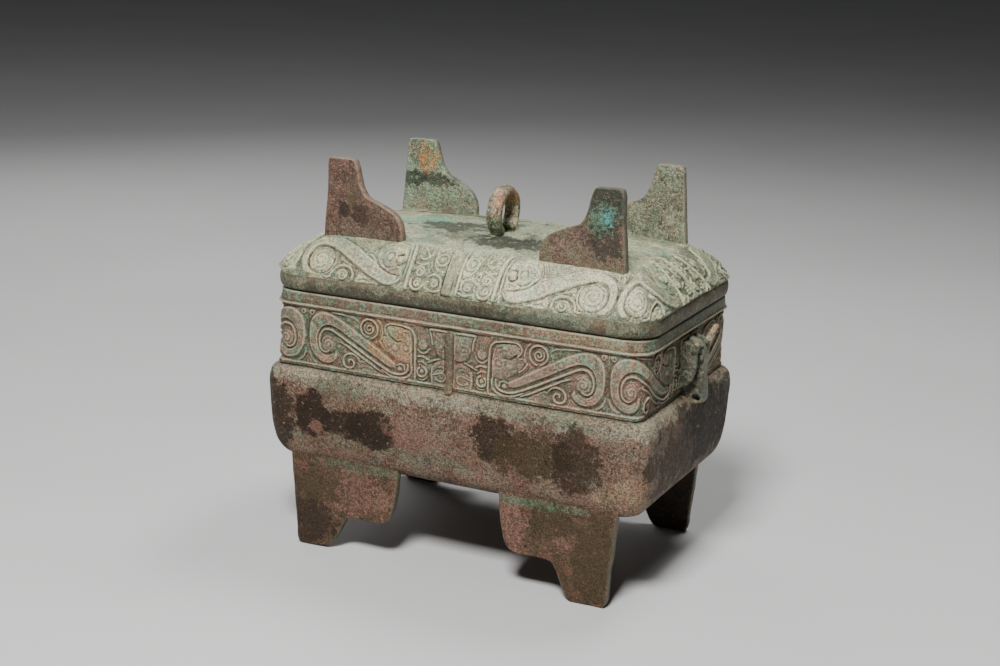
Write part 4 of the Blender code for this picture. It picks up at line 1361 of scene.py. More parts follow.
@dataclass
class Slab:
    """A flat casting between two edge lines, with rounded edges.

    Row by row it spans from a point of the first edge to the matching point of the second. Each row is a
    closed loop: across the near face, round an edge, across the far face and round the other edge.
    """

    first: Points
    second: Points
    near: float
    far: float
    edge: float = 1.0
    plane: Plane = Plane.LENGTHWISE
    across: int = 26
    steps: int = 8
    swell: float = 0.0
    round_end: bool = True
    # How strongly the rounded edges take wear with painted highlights
    wear_and_highlight: float = 0.55

    def loop(self) -> tuple[Array, Array, Array, Array]:
        """Sets out one row of the loop.

        Returns:
            The share across, the offset from it in edge radii, the depth in edge radii, and which side
            that depth is measured from.
        """
        face = np.linspace(0, 1, self.across)
        level = np.zeros(self.across)
        turn = np.linspace(0, 0.5 * np.pi, 6)[1:4]
        inset = 1 - np.sin(turn)
        sunk = 1 - np.cos(turn)
        corner = np.concatenate([inset, inset[::-1]])
        drop = np.concatenate([sunk, sunk[::-1]])
        share = np.concatenate([face, np.ones(6), face[::-1], np.zeros(6)])
        offset = np.concatenate([1 - 2 * face, -corner, 1 - 2 * face[::-1], corner])
        depth = np.concatenate([level, drop, level, drop])
        side = np.concatenate([np.zeros(self.across + 3), np.ones(self.across + 6), np.zeros(3)])
        return share, offset, depth, side

    def skin(self) -> Skin:
        """Builds the rows of the flat casting and closes both ends.

        Returns:
            The surface of the casting.
        """
        first = smooth_path(self.first, self.steps)
        second = smooth_path(self.second, self.steps)
        span = second - first
        width = np.linalg.norm(span, axis=1, keepdims=True)
        along = span / width
        share, offset, depth, side = self.loop()
        edge = np.minimum(self.edge, 0.45 * width)
        reach = share * width + offset * edge
        flat = first[:, None, :] + reach[..., None] * along[:, None, :]
        middle = 0.5 * (first + second)
        run = np.concatenate([[0], np.cumsum(np.linalg.norm(np.diff(middle, axis=0), axis=1))])
        left = np.clip(self.edge - (run[-1] - run), 0, self.edge) if self.round_end else 0 * run
        draw_in = self.edge - np.sqrt(np.maximum(self.edge**2 - left**2, 0))
        swelling = self.swell * 4 * share * (1 - share)
        inward = depth * edge + draw_in[:, None] - swelling
        direction = np.sign(self.far - self.near)
        place = np.where(side == 0, self.near + direction * inward, self.far - direction * inward)
        if self.plane is Plane.LENGTHWISE:
            rows = np.stack([flat[..., 0], place, flat[..., 1]], axis=-1)
        else:
            rows = np.stack([place, flat[..., 0], flat[..., 1]], axis=-1)
        # Wear with painted highlights along the rounded edges and the end
        near_edge = soften(1 - np.minimum(reach, width - reach) / (1.8 * self.edge))
        near_end = (left / self.edge)[:, None]
        relief = self.wear_and_highlight * np.maximum(near_edge, near_end)
        return lofted(rows, relief)


@dataclass
class Feet:
    """The four flat bracket feet, each broad at the bowl and narrow at the ground."""

    inner: Points = (
        (30.4, 60), (30.9, 53.2), (33, 34), (35.5, 25.8), (37.4, 23.2), (40.6, 21.8), (50, 21.5),
        (60.7, 21), (63.2, 20.2), (64.8, 18.2), (68.6, 9.6), (72.1, 2.8), (74.2, 0.6), (77, 0),
    )
    outer: Points = (
        (100.3, 60), (99.7, 53.5), (98.9, 44), (98.3, 37), (98, 33), (97.8, 29.5), (97.4, 26),
        (97, 23), (96.8, 21), (96.6, 18.5), (96, 9.8), (95.4, 2.8), (94.4, 0.8), (92.4, 0),
    )
    worn_inner: Points = inner[:6] + (
        (50, 21.3), (60.4, 20.8), (63, 19.8), (64.8, 17.6), (69, 9.6), (72.4, 4.6), (74.6, 2.6), (78.6, 1),
    )
    front_face: float = 66.2
    thickness: float = 5.0
    edge: float = 1.1
    broad: tuple[float, float] = (11.0, 0.25)
    fine: tuple[float, float] = (3.0, 0.1)
    first_seed: int = 60
    limits: Box = ((-101, -66.6, 0.0), (101, 66.6, 62.0))

    def skins(self) -> dict[str, Skin]:
        """Builds the feet by name, the front left one rubbed down at its inner corner.

        Returns:
            The surface of each foot.
        """
        skins = {}
        corners = (
            ("right_front", 1, -1, self.inner), ("left_front", -1, -1, self.worn_inner),
            ("right_back", 1, 1, self.inner), ("left_back", -1, 1, self.inner))
        back_face = self.front_face - self.thickness
        for name, x, y, inner in corners:
            slab = Slab(inner, self.outer, self.front_face, back_face, edge=self.edge)
            seed = self.first_seed + SEED_STEP * len(skins)
            skin = slab.skin().mirrored(x, y).uneven(*self.broad, seed).uneven(*self.fine, seed + 3)
            skins[name] = skin.within(*self.limits)
        return skins


@dataclass
class Plates:
    """The four upright plates of the lid, the same bracket form turned over."""

    inner: Points = (
        (40.6, 172), (40.7, 179), (41.6, 186.6), (44, 191.4), (48.2, 194.7), (57, 198.5), (63.1, 201.1),
        (66.3, 205.6), (68.5, 212.2), (70.3, 218.6), (71.4, 220.7), (73.8, 221.3),
    )
    outer: Points = (
        (91, 172), (90.4, 178), (89.9, 184), (89.4, 189), (89, 193.5), (88.6, 198), (88.2, 202),
        (87.9, 206.5), (87.4, 212.5), (86.9, 218.8), (86.1, 220.6), (84.2, 221.3),
    )
    broad_inner: Points = (
        (40.6, 172), (40.7, 179), (41.4, 186.6), (43.6, 191.4), (47.4, 194.9), (55.5, 199),
        (61.2, 202.2), (64, 206.2), (66, 212.4), (67.8, 218.6), (69, 220.7), (71.4, 221.3),
    )
    sharp_outer: Points = outer[:6] + (
        (88.3, 202), (88.1, 206.5), (87.9, 212.5), (87.6, 219.4), (87.3, 221), (86.4, 221.35),
    )
    front_face: float = 47.9
    thickness: float = 5.5
    edge: float = 1.0
    broad: tuple[float, float] = (12.0, 0.3)
    fine: tuple[float, float] = (3.0, 0.08)
    first_seed: int = 90
    limits: Box = ((-93, -48.6, 170.0), (93, 48.6, 221.35))

    def skins(self) -> dict[str, Skin]:
        """Builds the plates by name, the front left one sharper and the back left one broader.

        Returns:
            The surface of each plate.
        """
        skins = {}
        corners = (
            ("right_front", 1, -1, self.inner, self.outer),
            ("left_front", -1, -1, self.inner, self.sharp_outer),
            ("right_back", 1, 1, self.inner, self.outer),
            ("left_back", -1, 1, self.broad_inner, self.outer))
        back_face = self.front_face - self.thickness
        for name, x, y, inner, outer in corners:
            slab = Slab(inner, outer, self.front_face, back_face, edge=self.edge)
            seed = self.first_seed + SEED_STEP * len(skins)
            skin = slab.skin().mirrored(x, y).uneven(*self.broad, seed).uneven(*self.fine, seed + 3)
            skins[name] = skin.within(*self.limits)
        return skins


def tube(path: Array, wide: Array, thick: Array, half_wide: Array, half_thick: Array,
         around: int = 28) -> Skin:
    """Carries an oval along a path.

    Args:
        path: the middle of the oval at each step.
        wide: the direction of its wider axis at each step.
        thick: the direction of its narrower axis at each step.
        half_wide: half its width at each step.
        half_thick: half its thickness at each step.
        around: how many points it has.

    Returns:
        The surface of the tube, closed at both ends.
    """
    angle = np.linspace(0, 2 * np.pi, around, endpoint=False)
    swing = np.sign(np.cos(angle)) * np.abs(np.cos(angle)) ** 0.9
    rise = np.sign(np.sin(angle)) * np.abs(np.sin(angle)) ** 0.9
    rows = path[:, None] + wide[:, None] * (half_wide[:, None] * swing)[..., None]
    rows = rows + thick[:, None] * (half_thick[:, None] * rise)[..., None]
    return lofted(rows)


@dataclass
class RingHandle:
    """The fixed loop in the middle of the lid, standing on two limbs."""

    middle: Place = (-0.3, -5.0, 193.6)
    half_width: float = 11.7
    half_height: float = 11.9
    stock_wide: float = 9.0
    stock_thick: float = 6.4
    bend: tuple[float, float] = (-55.0, 235.0)
    stations: int = 90
    broad: Layer = (5.0, 0.28, 130)
    fine: Layer = (1.8, 0.08, 134)

    def skin(self) -> Skin:
        """Carries an oval round a bend of 290 degrees, whose ends are in the lid.

        Returns:
            The surface of the loop.
        """
        angle = np.radians(np.linspace(*self.bend, self.stations))
        y = self.middle[1] + self.half_width * np.cos(angle)
        z = self.middle[2] + self.half_height * np.sin(angle)
        path = np.stack([np.full_like(y, self.middle[0]), y, z], axis=1)
        ahead = np.gradient(path, axis=0)
        ahead /= np.linalg.norm(ahead, axis=1, keepdims=True)
        wide = np.tile(np.array([1.0, 0.0, 0.0]), (len(path), 1))
        thick = np.cross(ahead, wide)
        half_wide = np.full(len(path), 0.5 * self.stock_wide)
        half_thick = np.full(len(path), 0.5 * self.stock_thick)
        skin = tube(path, wide, thick, half_wide, half_thick)
        return skin.uneven(*self.broad).uneven(*self.fine)


@dataclass
class BeastHeads:
    """The two end handles: a snout pierced by a small hole at its lower end, ears, brows, eyes and horns.

    The snout is carried from the hole to the outline of the head: a point of its face stands at a share
    of the way between the two, at the same angle round the hole.
    """

    outline: Points = (
        (106.5, 138), (113, 137.5), (117.5, 136), (120.4, 132), (121.4, 126), (121.2, 119),
        (121.6, 113), (122.3, 108.6), (122.5, 105), (122, 103), (120.5, 101.6), (118.4, 100.8),
        (112, 100), (106.5, 99.5), (106.5, 104), (106.5, 110), (106.5, 120), (106.5, 130),
    )
    hole_middle: tuple[float, float] = (117.9, 104.9)
    hole_radius: float = 2.5
    half_width: float = 3.5
    muzzle_half_width: float = 4.8
    rounding: float = 2.2
    ear_inner: Points = (
        (106.5, 136.4), (106.5, 134), (106.5, 130), (106.5, 125), (106.5, 119), (106.5, 114), (106.5, 111),
        (106.5, 109),
    )
    ear_outer: Points = (
        (113, 136.6), (116.6, 135.2), (118.8, 131), (119.3, 125.4), (118.6, 119.6), (116.8, 115),
        (114.4, 112.4), (111.6, 111),
    )
    ear_near: float = 7.5
    ear_far: float = 11.0
    whole_horn: Points = (
        (117, 9, 131), (118.4, 9.8, 134.2), (120, 11, 138.4), (121.2, 11.8, 141.2),
        (121.6, 12.2, 142.6),
    )
    broken_horn: Points = (
        (117.2, 9.8, 131.5), (118, 9.9, 134), (118.5, 10, 135.8), (118.7, 10, 136.8),
    )
    horn_shares: tuple[float, ...] = (0.0, 0.85, 1.0)
    horn_radii: tuple[float, ...] = (2.2, 1.4, 0.8)
    muzzle_below: float = 110.0
    hole_lip: float = 1.6
    paired_beads: tuple[Box, ...] = (
        ((118.6, 4.1, 127), (2.4, 1.7, 2.3)), ((117, 4.2, 134.4), (3.2, 2.4, 1.8)),
        ((113.4, 4.6, 114.4), (4.4, 1.4, 1.3)),
    )
    single_beads: tuple[Box, ...] = (
        ((118.6, 8.4, 134.2), (1.8, 2.2, 1.6)), ((119.6, 7, 135.2), (1.2, 1.4, 1.2)),
    )
    broad: Layer = (4.0, 0.2, 140)
    limits: Box = ((100.0, -14.0, 98.0), (122.85, 14.0, 143.4))

    def snout(self) -> Skin:
        """Carries the snout's two faces from the hole to the outline, round its edge and back.

        Returns:
            The surface of the snout.
        """
        middle = np.array(self.hole_middle)
        corners = np.asarray(self.outline + self.outline[:1])
        edge = smooth_path(corners, 5)
        angle = np.unwrap(np.arctan2(edge[:, 1] - middle[1], edge[:, 0] - middle[0]))
        distance = np.hypot(edge[:, 0] - middle[0], edge[:, 1] - middle[1])
        ways = np.linspace(angle[0], angle[-1], 97)[:-1]
        reach = np.interp(ways, angle[::-1], distance[::-1])
        heading = np.stack([np.cos(ways), np.sin(ways)], axis=-1)
        share = np.concatenate([np.linspace(0, 0.85, 14), [0.9, 0.94, 0.97, 0.99, 1]])[:, None]
        way = self.hole_radius + share * (reach - self.hole_radius)
        face = middle + way[..., None] * heading
        wide = self.muzzle_half_width + (self.half_width - self.muzzle_half_width) * soften(
            (face[..., 1] - self.muzzle_below) / 7)
        left = np.clip(1 - (reach - way) / self.rounding, 0, 1)
        half = wide * np.sqrt(1 - left**2)
        rim = soften(1 - (way - self.hole_radius) / self.hole_lip)
        half = half + 0.5 * rim
        near = np.stack([face[..., 0], -half, face[..., 1]], axis=-1)
        far = np.stack([face[..., 0], half, face[..., 1]], axis=-1)[-2::-1]
        bore = near[:1] * np.array([1.0, 0.0, 1.0])
        # Wear with painted highlights round the outline and at the hole's lip, and painted shade inside
        # the hole
        wear_and_highlight = 0.6 * soften(1 - (reach - way) / 2) + 0.3 * rim
        relief = np.concatenate([wear_and_highlight, wear_and_highlight[-2::-1], 0 * wear_and_highlight[:1] - 0.8])
        return lofted(np.concatenate([near, far, bore]), relief, closed=True)

    def horn(self, points: Points, side: float) -> Skin:
        """Carries a narrowing round bar along a horn's path.

        Args:
            points: the path of the back horn.
            side: 1 for the back or -1 for the front.

        Returns:
            The surface of the horn.
        """
        path = smooth_path(points, 6) * np.array([1.0, side, 1.0])
        ahead = np.gradient(path, axis=0)
        ahead /= np.linalg.norm(ahead, axis=1, keepdims=True)
        wide = np.cross(ahead, np.array([0.0, 1.0, 0.0]))
        wide /= np.linalg.norm(wide, axis=1, keepdims=True)
        thick = np.cross(ahead, wide)
        half = np.interp(np.linspace(0, 1, len(path)), self.horn_shares, self.horn_radii)
        return tube(path, wide, thick, half, half, 20)

    def skin(self, front_horn: Points) -> Skin:
        """Joins the parts of the right head, which overlap as one casting.

        Args:
            front_horn: the path of the horn towards the front, whole or broken.

        Returns:
            The surface of the head.
        """
        ear = Slab(self.ear_inner, self.ear_outer, -self.ear_near, -self.ear_far, edge=1.7, across=16,
                   round_end=False, wear_and_highlight=0.5).skin()
        parts = [self.snout(), ear, ear.mirrored(1, -1)]
        parts.append(self.horn(front_horn, -1))
        parts.append(self.horn(self.whole_horn, 1))
        for side in (-1, 1):
            for (x, y, z), radii in self.paired_beads:
                parts.append(self.bead((x, side * y, z), radii))
        parts.extend(self.bead(middle, radii) for middle, radii in self.single_beads)
        return joined(parts).uneven(*self.broad).within(*self.limits)

    @staticmethod
    def bead(middle: Place, radii: Place) -> Skin:
        """Makes an ellipsoid: rings of latitude scaled by three radii.

        Args:
            middle: its middle.
            radii: its radii along the three axes.

        Returns:
            Its surface.
        """
        latitude = np.linspace(-0.46 * np.pi, 0.46 * np.pi, 9)[:, None]
        longitude = np.linspace(0, 2 * np.pi, 16, endpoint=False)[None, :]
        x = np.cos(latitude) * np.cos(longitude)
        y = np.cos(latitude) * np.sin(longitude)
        z = np.sin(latitude) * np.ones_like(longitude)
        return lofted(np.stack([x, y, z], axis=-1) * radii + middle)


@dataclass
class Ribs:
    """The short rounded ribs in the middle of the front and back, on the vessel and on the lid."""

    vessel_middle: float = 0.5
    vessel_half_width: float = 2.3
    vessel_root: Points = (
        (64.4, 139.2), (64.4, 137), (64.4, 124), (64.4, 109), (64.4, 107), (64.4, 105),
    )
    vessel_face: Points = (
        (68.2, 139.3), (69.2, 137.4), (69.3, 124), (69.4, 110.2), (70.3, 107), (70.8, 104.6),
    )
    vessel_rough: Layer = (5.0, 0.3, 150)
    lid_middle: float = -2.7
    lid_half_width: float = 2.5
    lid_way: tuple[float, float] = (9.6, 36.0)
    lid_every: int = 6
    lid_root: tuple[float, float] = (2.6, 1.8)
    lid_face: tuple[float, float] = (1.6, 1.3)
    lid_rough: Layer = (5.0, 0.25, 160)

    def vessel_skin(self, y: float) -> Skin:
        """Builds the rib through the vessel's band at the front or the back.

        Args:
            y: -1 for the front or 1 for the back.

        Returns:
            The surface of the rib.
        """
        low = self.vessel_middle - self.vessel_half_width
        high = self.vessel_middle + self.vessel_half_width
        slab = Slab(self.vessel_root, self.vessel_face, low, high, edge=2, plane=Plane.CROSSWISE,
                    across=10, round_end=False, wear_and_highlight=0.2)
        return slab.skin().mirrored(-y, y).uneven(*self.vessel_rough)

    def lid_skin(self, y: float, profile: Array) -> Skin:
        """Builds the rib that climbs the dome, following its outline.

        Args:
            y: -1 for the front or 1 for the back.
            profile: half depth and height up the dome.

        Returns:
            The surface of the rib.
        """
        root = profile - np.array(self.lid_root)
        face = profile + np.array(self.lid_face)
        middle = -y * self.lid_middle
        low = middle - self.lid_half_width
        high = middle + self.lid_half_width
        slab = Slab(tuple(map(tuple, root)), tuple(map(tuple, face)), low, high, edge=1.9,
                    plane=Plane.CROSSWISE, across=8, steps=3, round_end=False, wear_and_highlight=0.25)
        return slab.skin().mirrored(1, y).uneven(*self.lid_rough)


@dataclass
class LidStrip:
    """The plain strip at the foot of the lid with the lip that drops into the mouth, a closed ring."""

    stations: Points = (
        (148.75, 110.6, 65.9, 15.6), (149.1, 111.8, 67, 16.4), (149.8, 112.7, 67.8, 16.9),
        (151.4, 113.2, 68.2, 16.9), (153.4, 113.4, 68.3, 16.8), (155.4, 113.3, 68.2, 16.5),
        (156.8, 112.9, 67.8, 16.2), (157.5, 112.6, 67.4, 16), (158, 111.6, 66.2, 15.6),
        (158.3, 109.6, 64.2, 14), (153, 109.9, 64.5, 13.4), (149.4, 108, 63.4, 12.2),
        (147.6, 104.7, 60.3, 10.4), (144.4, 104.6, 60.2, 10.4), (144.2, 105.9, 61.5, 11.4),
        (144.5, 107.2, 62.8, 12.2), (148, 107.2, 62.8, 12.2), (148.7, 108.6, 64, 13.4),
    )
    spacing: Spacing = Spacing(200, 24, 110, 16, 150)
    broad: Layer = (14.0, 0.16, 170)
    fine: Layer = (3.0, 0.07, 174)
    # Wear with a faint painted highlight from this height up, and painted shade below the next, over the
    # bottom and the lip in the gap above the mouth
    wear_and_highlight_from: float = 154.0
    dark_below: float = 150.0
    limits: Box = ((-130, -130, 144.0), (130, 130, 159.0))

    def skin(self) -> Skin:
        """Carries the strip's profile round the lid.

        Returns:
            The surface of the strip.
        """
        skin = closed_band(Ring(self.spacing), self.stations, self.broad).uneven(*self.fine)
        height = skin.points[:, 2]
        # Wear and a faint painted highlight on the upper part; painted shade over the bottom and the lip
        wear_and_highlight = 0.2 * soften((height - self.wear_and_highlight_from) / 2)
        dark = soften((self.dark_below - height) / 0.7)
        return replace(skin, relief=wear_and_highlight - dark).within(*self.limits)


@dataclass
class LidDome:
    """The carved dome of the lid: rings that rise from the strip and close over the crown."""

    stations: Points = (
        (156.6, 112.2, 67.1, 16.1), (158.2, 112.6, 67.4, 15.8), (160.2, 112, 66.8, 15.3),
        (162, 110.5, 65.4, 14.8), (164.4, 108.7, 64.1, 14.2), (167, 106.2, 62.1, 13.6),
        (169.8, 102.9, 59.6, 12.9), (172.4, 99.5, 57, 12.2), (175.2, 95, 53, 11.3),
        (177.3, 90, 48, 10.5), (178.1, 84, 42, 10), (179.2, 70, 28, 9), (180, 58, 16, 7),
        (180.3, 48, 6, 4), (180.3, 45, 3, 2.2),
    )
    foot_way: float = 9.9
    pitch: float = 0.47
    fine_to: float = 40.0
    wall: float = 3.3
    off_middle: float = -1.3
    sheet_shift: float = 2.5
    divider: float = 91.2
    back_depth: float = 0.8
    steps: int = 6
    coarse_rows: int = 15
    inner_every: int = 6
    crown_rise: float = 1.7
    crown_half_length: float = 95.0
    crown_from: float = 168.0
    crown_over: float = 8.1
    carved: tuple[float, float] = (9.2, 42.0)
    sunk_depth: float = 0.9
    sunk_from: float = 34.0
    layers: tuple[Layer, ...] = ((16.0, 0.3, 7), (1.6, 0.11, 8), (4.0, 0.14, 10))
    spacing: Spacing = Spacing(370, 36, 190, 18, 150)

    def profile(self) -> tuple[Array, Array]:
        """Works out the dome's rows.

        Returns:
            For each row its height, half length, half depth and corner radius, and the length of the
            curve from the rim up to it.
        """
        table = smooth_path(self.stations, self.steps)
        step = np.hypot(np.diff(table[:, 0]), np.diff(table[:, 2]))
        run = np.concatenate([[0], np.cumsum(step)])
        way = run - run[self.steps] + self.foot_way
        fine = np.arange(way[0], self.fine_to, self.pitch)
        share = np.linspace(0, 1, self.coarse_rows) ** 0.9
        coarse = self.fine_to + (way[-1] - self.fine_to) * share
        stops = np.concatenate([fine, coarse])
        rows = np.stack([np.interp(stops, way, table[:, column]) for column in range(4)], axis=1)
        return rows, stops

    def crown(self, x: Array, height: Array) -> Array:
        """Lifts the top most in the middle, falling with the square of x to 0 near the ends."""
        share = np.clip((height - self.crown_from) / self.crown_over, 0, 1)
        return self.crown_rise * (1 - (x / self.crown_half_length) ** 2) * share

    def sheet_across(self, ring: Ring, sizes: Array) -> Array:
        """Finds the place across the drawing: from the rib on the front, and from the end's middle.

        Args:
            ring: the columns of the dome.
            sizes: half length, half depth and corner radius of each row.

        Returns:
            The places, by row and column.
        """
        way, whole = ring.along(sizes)
        side = np.sign(ring.across) * (ring.deep < 0)
        from_rib = np.abs(way - self.off_middle * side) - self.sheet_shift
        rib_to_divider = self.divider + self.sheet_shift
        from_end = (whole - way) * self.divider / (whole - rib_to_divider - self.off_middle * side)
        return np.where(way - self.off_middle * side < rib_to_divider, from_rib, from_end)

    def skin(self, sheet: Carving) -> Skin:
        """Raises the drawing from the dome and adds the inner face.

        Args:
            sheet: the drawing.

        Returns:
            The closed surface of the dome.
        """
        ring = Ring(self.spacing)
        table, way = self.profile()
        sizes = table[:, 1:4]
        rows = ring.place(sizes, table[:, 0])
        up = np.broadcast_to(way[:, None], rows.shape[:2])
        rise, tint = sheet.sample(self.sheet_across(ring, sizes), up)
        rise = rise * np.where(ring.deep >= 1, self.back_depth, 1)
        low, high = self.carved
        fade = soften((way - low) / 0.8) * soften((high - way) / 5)
        sunk = self.sunk_depth * soften((way - self.sunk_from) / 8)
        rise = (rise - sunk[:, None]) * fade[:, None]
        climb = np.gradient(table[:, 0])
        draw_in = -np.gradient(table[:, 2])
        length = np.hypot(climb, draw_in) + 1e-9
        outward = (climb / length)[:, None]
        upward = (draw_in / length)[:, None]
        rise = roughened(rise, rows, self.layers)
        inner = rows[::-self.inner_every].copy()
        rows[..., 2] += self.crown(rows[..., 0], rows[..., 2])
        rows[..., :2] += ring.out * (rise * outward)[..., None]
        rows[..., 2] += rise * upward
        inner[..., 2] += self.crown(inner[..., 0], inner[..., 2])
        inner[..., :2] -= self.wall * ring.out * outward[::-self.inner_every][..., None]
        inner[..., 2] -= self.wall * upward[::-self.inner_every]
        tint = tint * fade[:, None]
        relief = np.concatenate([np.zeros(inner.shape[:2]), tint])
        return lofted(np.concatenate([inner, rows]), relief)


@dataclass
class Finishes:
    """The patina of each piece, with the stains where they lie, a few of them painted shadows, shade and
    highlights.
    """

    bowl: Patina = Patina(
        "bowl patina", Tone.PINK_BROWN, Tone.BROWN_GREY, Tone.RED_BROWN,
        (Tone.PINK_BROWN, Tone.GREY_GREEN, Tone.RED_BROWN, Tone.DARK_BROWN), Tone.DARK_BROWN, Tone.TAN,
        mottle=12, cloud_size=11, cloud_share=0.4, fleck_size=1.7, fleck_share=0.52, grain_depth=1.5,
        metal=0.15, rough=0.58, gloss=0.2, seed=0.4, stains=(
            Stain((0, 0, 104), (230, 230, 8), Tone.PALE_GREEN, 0.5, 0.7, 6),
            Stain((-66, -70, 97), (16, 16, 6), Tone.VERDIGRIS, 0.6, 0.7, 6),
            Stain((60, -70, 102), (34, 16, 5), Tone.VERDIGRIS, 0.5, 0.7, 6),
            Stain((-40, -70, 66), (60, 16, 4), Tone.VERDIGRIS, 0.4, 0.9, 5),
            Stain((-83, -71, 80), (12, 16, 14), Tone.DARK_BROWN, 0.95, 0.5, 7, True),
            Stain((-62, -71, 78), (15, 16, 8), Tone.DARK_BROWN, 0.9, 0.5, 6, True),
            Stain((-45, -71, 77), (15, 16, 12), Tone.DARK_BROWN, 0.95, 0.5, 6, True),
            Stain((27, -71, 86), (14, 16, 12), Tone.DARK_BROWN, 0.85, 0.8, 8, True),
            Stain((52, -71, 79), (24, 16, 12), Tone.UMBER, 0.85, 0.7, 8, True),
            Stain((76, -71, 79), (15, 16, 18), Tone.DARK_BROWN, 0.75, 0.8, 8, True),
            Stain((-111, -66, 76), (16, 22, 24), Tone.DARK_BROWN, 0.85, 0.7, 8, True),
            Stain((119, 6, 78), (12, 66, 27), Tone.UMBER, 0.85, 0.9, 14, True),
            Stain((119, 36, 82), (16, 44, 24), Tone.NEAR_BLACK, 0.7, 1, 12, True),
            Stain((106, -66, 64), (16, 14, 14), Tone.TAN, 0.45, 0.8, 5),
            Stain((-62, -71, 79), (42, 16, 20), Tone.RED_BROWN, 0.55, 0.8, 8),
            Stain((52, -71, 80), (46, 16, 21), Tone.RED_BROWN, 0.55, 0.8, 8),
            Stain((-22, -71, 80), (14, 16, 9), Tone.ROSE, 0.45, 1.2, 5, True),
            Stain((-80, -71, 73), (5, 9, 4), Tone.ROSE, 0.75, 0.9, 3, True),
            Stain((0, 0, 50), (160, 120, 6), Tone.DARK_BROWN, 0.6, 0.6, 9),
        ))
    frieze: Patina = Patina(
        "frieze patina", Tone.BROWN_GREY, Tone.PINK_BROWN, Tone.VERDIGRIS,
        (Tone.MINT, Tone.PINK, Tone.OLIVE), Tone.MOSS, Tone.CREAM, mottle=8, cloud_share=0.45,
        fleck_size=1.7, fleck_share=0.62, hollow_share=0.85, edge_share=0.6, seed=1.7, stains=(
            Stain((-84, -68, 124), (44, 10, 26), Tone.DARK_GREEN, 0.35, 0.9, 7),
            Stain((-36, -68, 129), (14, 6, 13), Tone.OCHRE, 0.6, 0.8, 5),
            Stain((0, -70, 108), (7, 8, 6), Tone.OCHRE, 0.3, 0.8, 5),
            Stain((0.6, -70, 122), (3, 5, 22), Tone.UMBER, 0.6, 0.6, 5, True),
            # Painted shadow cast by the front rib, along its left side
            Stain((-2.7, -70, 122), (1, 5, 20), Tone.NEAR_BLACK, 0.8, 0.2, 4, True),
            Stain((17, -68, 113), (7, 6, 9), Tone.OCHRE, 0.35, 0.8, 5),
            Stain((112, 10, 124), (22, 58, 30), Tone.DARK_GREEN, 0.6, 0.6, 12, True),
            Stain((112, 30, 124), (10, 44, 30), Tone.OCHRE, 0.35, 0.9, 6),
            Stain((114, -20, 112), (14, 30, 14), Tone.DARK_BROWN, 0.6, 0.6, 8),
        ))
    rim: Patina = Patina(
        "rim patina", Tone.OLIVE_GREY, Tone.RED_BROWN, Tone.DARK_GREEN,
        (Tone.MINT, Tone.RED_BROWN, Tone.OLIVE), Tone.DEEP_GREEN, Tone.PALE_CREAM,
        edge_share=0.7, seed=2.9, stains=(
            Stain((76, -68, 145), (34, 12, 9), Tone.TAN, 0.35, 0.8, 7),
            Stain((-30, -68, 145), (30, 12, 9), Tone.PINK_BROWN, 0.4, 0.8, 7),
            Stain((112, 0, 145), (14, 60, 9), Tone.DARK_GREEN, 0.6, 0.7, 9),
        ))
    feet: Patina = Patina(
        "foot patina", Tone.OLIVE, Tone.RED_BROWN, Tone.DARK_BROWN,
        (Tone.RED_BROWN, Tone.MOSS, Tone.DARK_BROWN), Tone.NEAR_BLACK, Tone.GREY_GREEN,
        fleck_size=2.2, gloss=0.35, grain_depth=0.7, seed=4.3, stains=(
            Stain((40, -66, 38), (9, 10, 16), Tone.ROSE, 0.9, 0.9, 5),
            Stain((68, -66, 36), (9, 10, 6), Tone.ROSE, 0.65, 1, 4),
            Stain((87, -66, 26), (12, 10, 26), Tone.UMBER, 0.85, 0.7, 8, True),
            Stain((64, -66, 42), (15, 10, 9), Tone.UMBER, 0.85, 0.9, 6, True),
            Stain((56, -66, 51), (26, 14, 3), Tone.VERDIGRIS, 0.6, 0.9, 5),
            Stain((-58, -66, 35), (24, 10, 13), Tone.ROSE, 0.75, 1.4, 6),
            Stain((-86, -66, 14), (14, 10, 16), Tone.DARK_BROWN, 0.8, 1, 7, True),
            Stain((-84, -66, 36), (16, 10, 9), Tone.UMBER, 0.85, 1.1, 6, True),
            Stain((-56, -66, 52), (26, 14, 3), Tone.VERDIGRIS, 0.4, 0.9, 5),
            # Painted shade over the right back foot, in the shadow under the vessel
            Stain((86, 66, 24), (40, 14, 34), Tone.NEAR_BLACK, 0.8, 0.5, 9, True),
        ))
    heads: Patina = Patina(
        "beast head patina", Tone.TEAL_GREY, Tone.MOSS, Tone.DARK_GREEN,
        (Tone.PINK_BROWN, Tone.GREY_GREEN, Tone.MOSS), Tone.NEAR_BLACK, Tone.GREY_GREEN, mottle=7,
        edge_share=0.35, seed=5.9, stains=(
            Stain((119.4, 9, 134.6), (4, 4, 3), Tone.CREAM, 0.8, 0.6, 3),
            Stain((121, 12, 140), (5, 5, 5), Tone.TAN, 0.85, 0.4, 4),
            Stain((-121, 12, 140), (5, 5, 5), Tone.TAN, 0.6, 0.4, 4),
            Stain((118.8, -10, 136.6), (1.6, 2, 1.4), Tone.OCHRE, 0.9, 0.5, 2),
            Stain((118, 0, 101), (8, 8, 3), Tone.TAN, 0.4, 0.8, 3),
        ))
